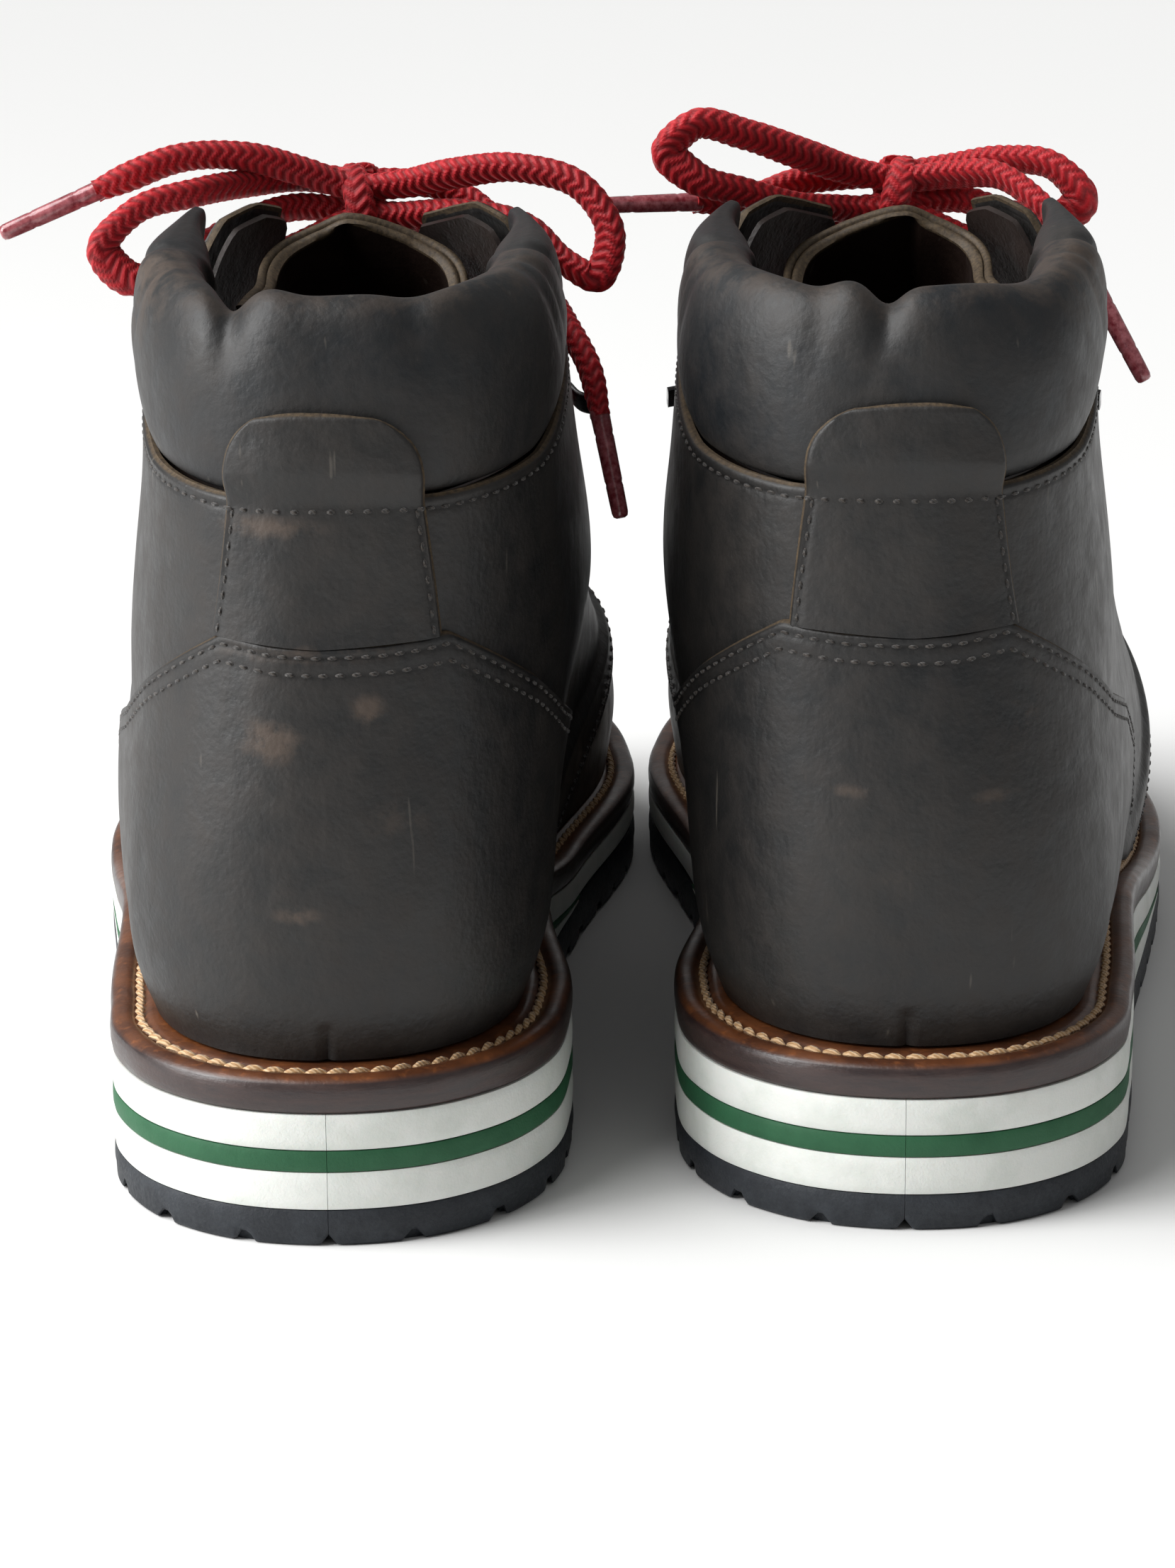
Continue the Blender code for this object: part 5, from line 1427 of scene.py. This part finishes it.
def braid_look(colour):
    """Braided polyester: crimson yarns with painted shade darkening them between
    the plaits, painted pale pink highlights on their crowns, and soft fuzz."""
    tree, shader, where = new_look("braided_polyester", 0.58, Sheen_Weight=0.5, Sheen_Roughness=0.4,
                                   Specular_IOR_Level=0.4, Sheen_Tint=linear("#ff9a9a"))
    plait = add(tree, "Attribute", {}, "Fac", attribute_name="plait")
    yarn = add(tree, "TexNoise", {"Vector": where, "Scale": 1 / 0.55, "Detail": 3, "Roughness": 0.6})
    soil = add(tree, "TexNoise", {"Vector": where, "Scale": 1 / 14, "Detail": 3, "Roughness": 0.55})
    bright = add(tree, "MapRange", {"Value": yarn, "From Min": 0.56, "From Max": 0.72})
    crown = add(tree, "MapRange", {"Value": plait, "From Min": 0.7, "From Max": 1.0})
    glint = add(tree, "Math", {0: bright, 1: crown}, operation="MULTIPLY")
    # painted shade: #7d0a13 where the plait is low, between strands; painted highlight: pink glints on the
    # plait's crowns
    colour = layered(tree, "#7d0a13", (plait, 0.05, 0.6, 1, colour), (glint, 0, 1, 0.75, "#dd4a50"),
                     (soil, 0.4, 0.7, 0.35, "#7c0a14"))
    finish(tree, shader, colour, None, (plait, 0.25), (yarn, 0.12))


def film_look():
    """Clear acetate film shrunk over the braid's end: dusty rose, glossy."""
    tree, shader, where = new_look("aglet_film", 0.22, Coat_Weight=0.8, Coat_Roughness=0.1,
                                   Subsurface_Weight=0.2, Subsurface_Scale=1.0 * MM)
    streak = add(tree, "TexNoise", {"Vector": where, "Scale": 1 / 1.2, "Detail": 4, "Roughness": 0.6})
    finish(tree, shader, layered(tree, "#7a2a33", (streak, 0.35, 0.7, 1, "#b4686e")), None,
           (streak, 0.08))


def board_look():
    """Pressed leather board: tan, dull and fibrous."""
    tree, shader, where = new_look("pressed_board", 0.8)
    drawn = add(tree, "Mapping", {"Vector": where, "Scale": (1, 0.3, 1), "Rotation": (0, 0, 0.4)})
    fibre = add(tree, "TexNoise", {"Vector": drawn, "Scale": 1 / 1.5, "Detail": 5, "Roughness": 0.7})
    finish(tree, shader, layered(tree, "#8f7150", (fibre, 0.3, 0.7, 1, "#b89a74")), None, (fibre, 0.1))


def steel_look():
    """Mill-rolled spring steel: bare metal with fine lines along the roll."""
    tree, shader, where = new_look("spring_steel", 0.32, Metallic=1.0)
    drawn = add(tree, "Mapping", {"Vector": where, "Scale": (1, 0.05, 1)})
    rolled = add(tree, "TexNoise", {"Vector": drawn, "Scale": 1 / 0.8, "Detail": 3, "Roughness": 0.6})
    finish(tree, shader, layered(tree, "#8d8f92", (rolled, 0.3, 0.7, 1, "#b4b6b8")),
           (rolled, 0.3, 0.7, 0.25, 0.42))


def make_looks(colours):
    """Every finish, from the colours of the panel."""
    def picked(name):
        return (*getattr(colours, name), 1.0)
    tint, rub = picked("leather_tint"), picked("rubbed")
    leather_look("oiled_leather", picked("leather"), tint, rub, 0.46)
    leather_look("collar_leather", picked("collar"), tint, rub, 0.50, grain=1.2, scuffs=0.6)
    leather_look("tongue_leather", picked("lining"), "#1d1310", "#3a2a22", 0.34, grain=1.1, scuffs=0.3)
    lining_look(picked("lining"))
    welt_look(picked("welt_side_shade"), picked("welt_top"))
    thread_look("waxed_thread", "#e0bd92", "#b98f60")
    thread_look("brown_thread", "#2c241d", "#14100d")
    foam_look("white_foam", picked("foam"), "#c6ccc4")
    foam_look("green_foam", picked("stripe"), "#1c4a30")
    rubber_look(picked("rubber"))
    enamel_look()
    braid_look(picked("lace"))
    film_look()
    board_look()
    steel_look()


# ---- stage ------------------------------------------------------------------
CAMERA_AT = (9.71, -810.53, 254.16)
CAMERA_RIGHT = (0.99974728, 0.02117225, -0.00755726)
CAMERA_UP = (0.00180383, 0.25953361, 0.96573239)
CAMERA_LENS = 98.38
FLOOR_REACH = 6.0             # metres each way
SKY_SHINES = (0.85, 0.16, -1.0)
WINDOW_AT, WINDOW_AIM = (-1.3, -0.45, 0.6), (0, 0, 0.08)


def make_stage():
    """Camera, pale floor and soft lights: a broad sky light from the left and
    above, a window on the left, and a pale world."""
    data = bpy.data.cameras.new("view")
    data.lens, data.sensor_width, data.clip_start = CAMERA_LENS, 36.0, 0.05
    camera = bpy.data.objects.new("view", data)
    right, up = Vector(CAMERA_RIGHT), Vector(CAMERA_UP)
    turn = Matrix((right, up, right.cross(up))).transposed().to_4x4()
    camera.matrix_world = Matrix.Translation(Vector(CAMERA_AT) * MM) @ turn
    bpy.context.scene.collection.objects.link(camera)
    bpy.context.scene.camera = camera
    floor_mesh = bpy.data.meshes.new("floor")
    corners = [(x * FLOOR_REACH, y * FLOOR_REACH, 0) for x, y in ((-1, -1), (1, -1), (1, 1), (-1, 1))]
    floor_mesh.from_pydata(corners, [], [(0, 1, 2, 3)])
    floor = bpy.data.objects.new("floor", floor_mesh)
    new_look("floor_paint", 0.7, Base_Color=linear("#f2f2f1"))
    floor_mesh.materials.append(LOOKS["floor_paint"])
    bpy.context.scene.collection.objects.link(floor)
    sun = bpy.data.lights.new("sky", "SUN")
    sun.energy, sun.angle = 3.3, 0.9
    sky = bpy.data.objects.new("sky", sun)
    sky.rotation_euler = Vector(SKY_SHINES).to_track_quat("-Z", "Y").to_euler()
    bpy.context.scene.collection.objects.link(sky)
    lamp = bpy.data.lights.new("window", "AREA")
    lamp.shape, lamp.size, lamp.energy = "SQUARE", 0.8, 15.0
    window = bpy.data.objects.new("window", lamp)
    window.location = WINDOW_AT
    window.rotation_euler = (Vector(WINDOW_AIM) - Vector(WINDOW_AT)).to_track_quat("-Z", "Y").to_euler()
    bpy.context.scene.collection.objects.link(window)
    world = bpy.context.scene.world or bpy.data.worlds.new("studio")
    bpy.context.scene.world = world
    world.use_nodes = True
    world.node_tree.nodes["Background"].inputs["Color"].default_value = (1, 1, 1, 1)
    world.node_tree.nodes["Background"].inputs["Strength"].default_value = 0.26
    bpy.context.scene.view_settings.view_transform = "Standard"


# ---- the add-on -------------------------------------------------------------
def length(name, description, default):
    """A length property in metres."""
    return bpy.props.FloatProperty(name=name, description=description, default=default, min=0.0,
                                   precision=4, unit="LENGTH")


def colour(name, description, default):
    """A colour property from an sRGB hex value."""
    return bpy.props.FloatVectorProperty(name=name, description=description, subtype="COLOR", size=3,
                                         default=linear(default)[:3], min=0.0, max=1.0)


class BootSizes(bpy.types.PropertyGroup):
    """Sizes that a maker would choose."""
    leather: length("Leather", "Thickness of the upper leather", 0.0016)
    seam_pitch: length("Seam stitch", "Length of one stitch in the upper", 0.0027)
    welt_pitch: length("Welt stitch", "Length of one lockstitch in the welt", 0.0035)
    lug_depth: length("Lug depth", "Depth of the tread's channels", 0.0032)
    lug_pitch: length("Lug pitch", "Distance between the tread's lugs", 0.0150)
    collar_push: length("Collar push", "Most that the padding may swell the collar", 0.0012)
    lace_width: length("Lace width", "Width of the flat lace", 0.0066)
    lace_thickness: length("Lace thickness", "Thickness of the flat lace", 0.0042)


class BootColours(bpy.types.PropertyGroup):
    """Colours of the boots' materials."""
    leather: colour("Leather", "Oiled upper leather", "#191a1b")
    leather_tint: colour("Leather tint", "Where the oil has drawn away", "#272625")
    rubbed: colour("Rubbed leather", "Where the leather is worn", "#4b4038")
    collar: colour("Collar", "Padded collar leather", "#191c1f")
    lining: colour("Lining", "Lining leather", "#17100d")
    # painted shade: the welt's side colour is darkened for the shade on it as well as for its burnished
    # finish
    welt_side_shade: colour("Welt side", "Burnished edge of the welt", "#2a2020")
    welt_top: colour("Welt top", "Grain side of the welt", "#6d3f22")
    foam: colour("Foam", "Pale foam layers", "#dfe1dc")
    stripe: colour("Stripe", "Green foam layer", "#275a3b")
    rubber: colour("Rubber", "Tread rubber", "#1b1f25")
    lace: colour("Lace", "Braided lace", "#b8101d")


class BOOT_OT_stage(bpy.types.Operator):
    """Mix the finishes and set up the camera, floor and lights"""
    bl_idname = "boot.stage"
    bl_label = "Stage and finishes"

    def execute(self, context):
        make_looks(context.scene.boot_colours)
        make_stage()
        return {"FINISHED"}


class BOOT_OT_laces(bpy.types.Operator):
    """Braid and tie the laces and roll their tips"""
    bl_idname = "boot.laces"
    bl_label = "Laces"
    bl_options = {"REGISTER", "UNDO"}

    def execute(self, context):
        sizes = context.scene.boot_sizes
        for boot in SIDES:
            make_lace(boot, sizes)
            make_knot(boot, sizes)
        return {"FINISHED"}


class BOOT_OT_sole(bpy.types.Operator):
    """Mould the lugged tread and the foam layers"""
    bl_idname = "boot.sole"
    bl_label = "Sole"
    bl_options = {"REGISTER", "UNDO"}

    def execute(self, context):
        sizes = context.scene.boot_sizes
        for boot in SIDES:
            make_sole(boot, sizes)
        return {"FINISHED"}


class BOOT_OT_welt(bpy.types.Operator):
    """Lay the welt and sew it round"""
    bl_idname = "boot.welt"
    bl_label = "Welt"
    bl_options = {"REGISTER", "UNDO"}

    def execute(self, context):
        sizes = context.scene.boot_sizes
        for boot in SIDES:
            make_welt(boot)
            make_welt_stitches(boot, sizes)
        return {"FINISHED"}


class BOOT_OT_insides(bpy.types.Operator):
    """Line the boot and lay its footbed"""
    bl_idname = "boot.insides"
    bl_label = "Lining and footbed"
    bl_options = {"REGISTER", "UNDO"}

    def execute(self, context):
        for boot in SIDES:
            make_insides(boot)
            make_lining(boot)
        return {"FINISHED"}


class BOOT_OT_uppers(bpy.types.Operator):
    """Cut and sew the leather panels, the heel patch and the pull tab"""
    bl_idname = "boot.uppers"
    bl_label = "Leather uppers"
    bl_options = {"REGISTER", "UNDO"}

    def execute(self, context):
        sizes = context.scene.boot_sizes
        for boot in SIDES:
            make_uppers(boot, sizes)
        return {"FINISHED"}


class BOOT_OT_collar(bpy.types.Operator):
    """Pad the collar"""
    bl_idname = "boot.collar"
    bl_label = "Padded collar"
    bl_options = {"REGISTER", "UNDO"}

    def execute(self, context):
        sizes = context.scene.boot_sizes
        for boot in SIDES:
            make_collar(boot, sizes)
        return {"FINISHED"}


class BOOT_OT_tongue(bpy.types.Operator):
    """Cut the tongue"""
    bl_idname = "boot.tongue"
    bl_label = "Tongue"
    bl_options = {"REGISTER", "UNDO"}

    def execute(self, context):
        for boot in SIDES:
            make_tongue(boot)
        return {"FINISHED"}


class BOOT_OT_hardware(bpy.types.Operator):
    """Rivet the lace rings and the speed hooks"""
    bl_idname = "boot.hardware"
    bl_label = "Rings and hooks"
    bl_options = {"REGISTER", "UNDO"}

    def execute(self, context):
        for boot in SIDES:
            make_hardware(boot)
        return {"FINISHED"}


STEPS = (BOOT_OT_stage, BOOT_OT_laces, BOOT_OT_sole, BOOT_OT_welt, BOOT_OT_insides, BOOT_OT_uppers,
         BOOT_OT_collar, BOOT_OT_tongue, BOOT_OT_hardware)


class BOOT_PT_workshop(bpy.types.Panel):
    """Lists the boots' sizes, colours and making steps"""
    bl_idname = "BOOT_PT_workshop"
    bl_label = "Hiking boots"
    bl_space_type = "VIEW_3D"
    bl_region_type = "UI"
    bl_category = "Boots"

    def draw(self, context):
        for group in (context.scene.boot_sizes, context.scene.boot_colours):
            column = self.layout.column()
            for key in group.bl_rna.properties.keys():
                if key not in ("rna_type", "name"):
                    column.prop(group, key)
        for step in STEPS:
            self.layout.operator(step.bl_idname)


CLASSES = (BootSizes, BootColours, *STEPS, BOOT_PT_workshop)


def register():
    for one in CLASSES:
        bpy.utils.register_class(one)
    bpy.types.Scene.boot_sizes = bpy.props.PointerProperty(type=BootSizes)
    bpy.types.Scene.boot_colours = bpy.props.PointerProperty(type=BootColours)


def unregister():
    del bpy.types.Scene.boot_sizes
    del bpy.types.Scene.boot_colours
    for one in reversed(CLASSES):
        bpy.utils.unregister_class(one)


def main():
    register()
    bpy.ops.boot.stage()
    bpy.ops.boot.laces()
    bpy.ops.boot.sole()
    bpy.ops.boot.welt()
    bpy.ops.boot.insides()
    bpy.ops.boot.uppers()
    bpy.ops.boot.collar()
    bpy.ops.boot.tongue()
    bpy.ops.boot.hardware()


if __name__ == "__main__":
    main()
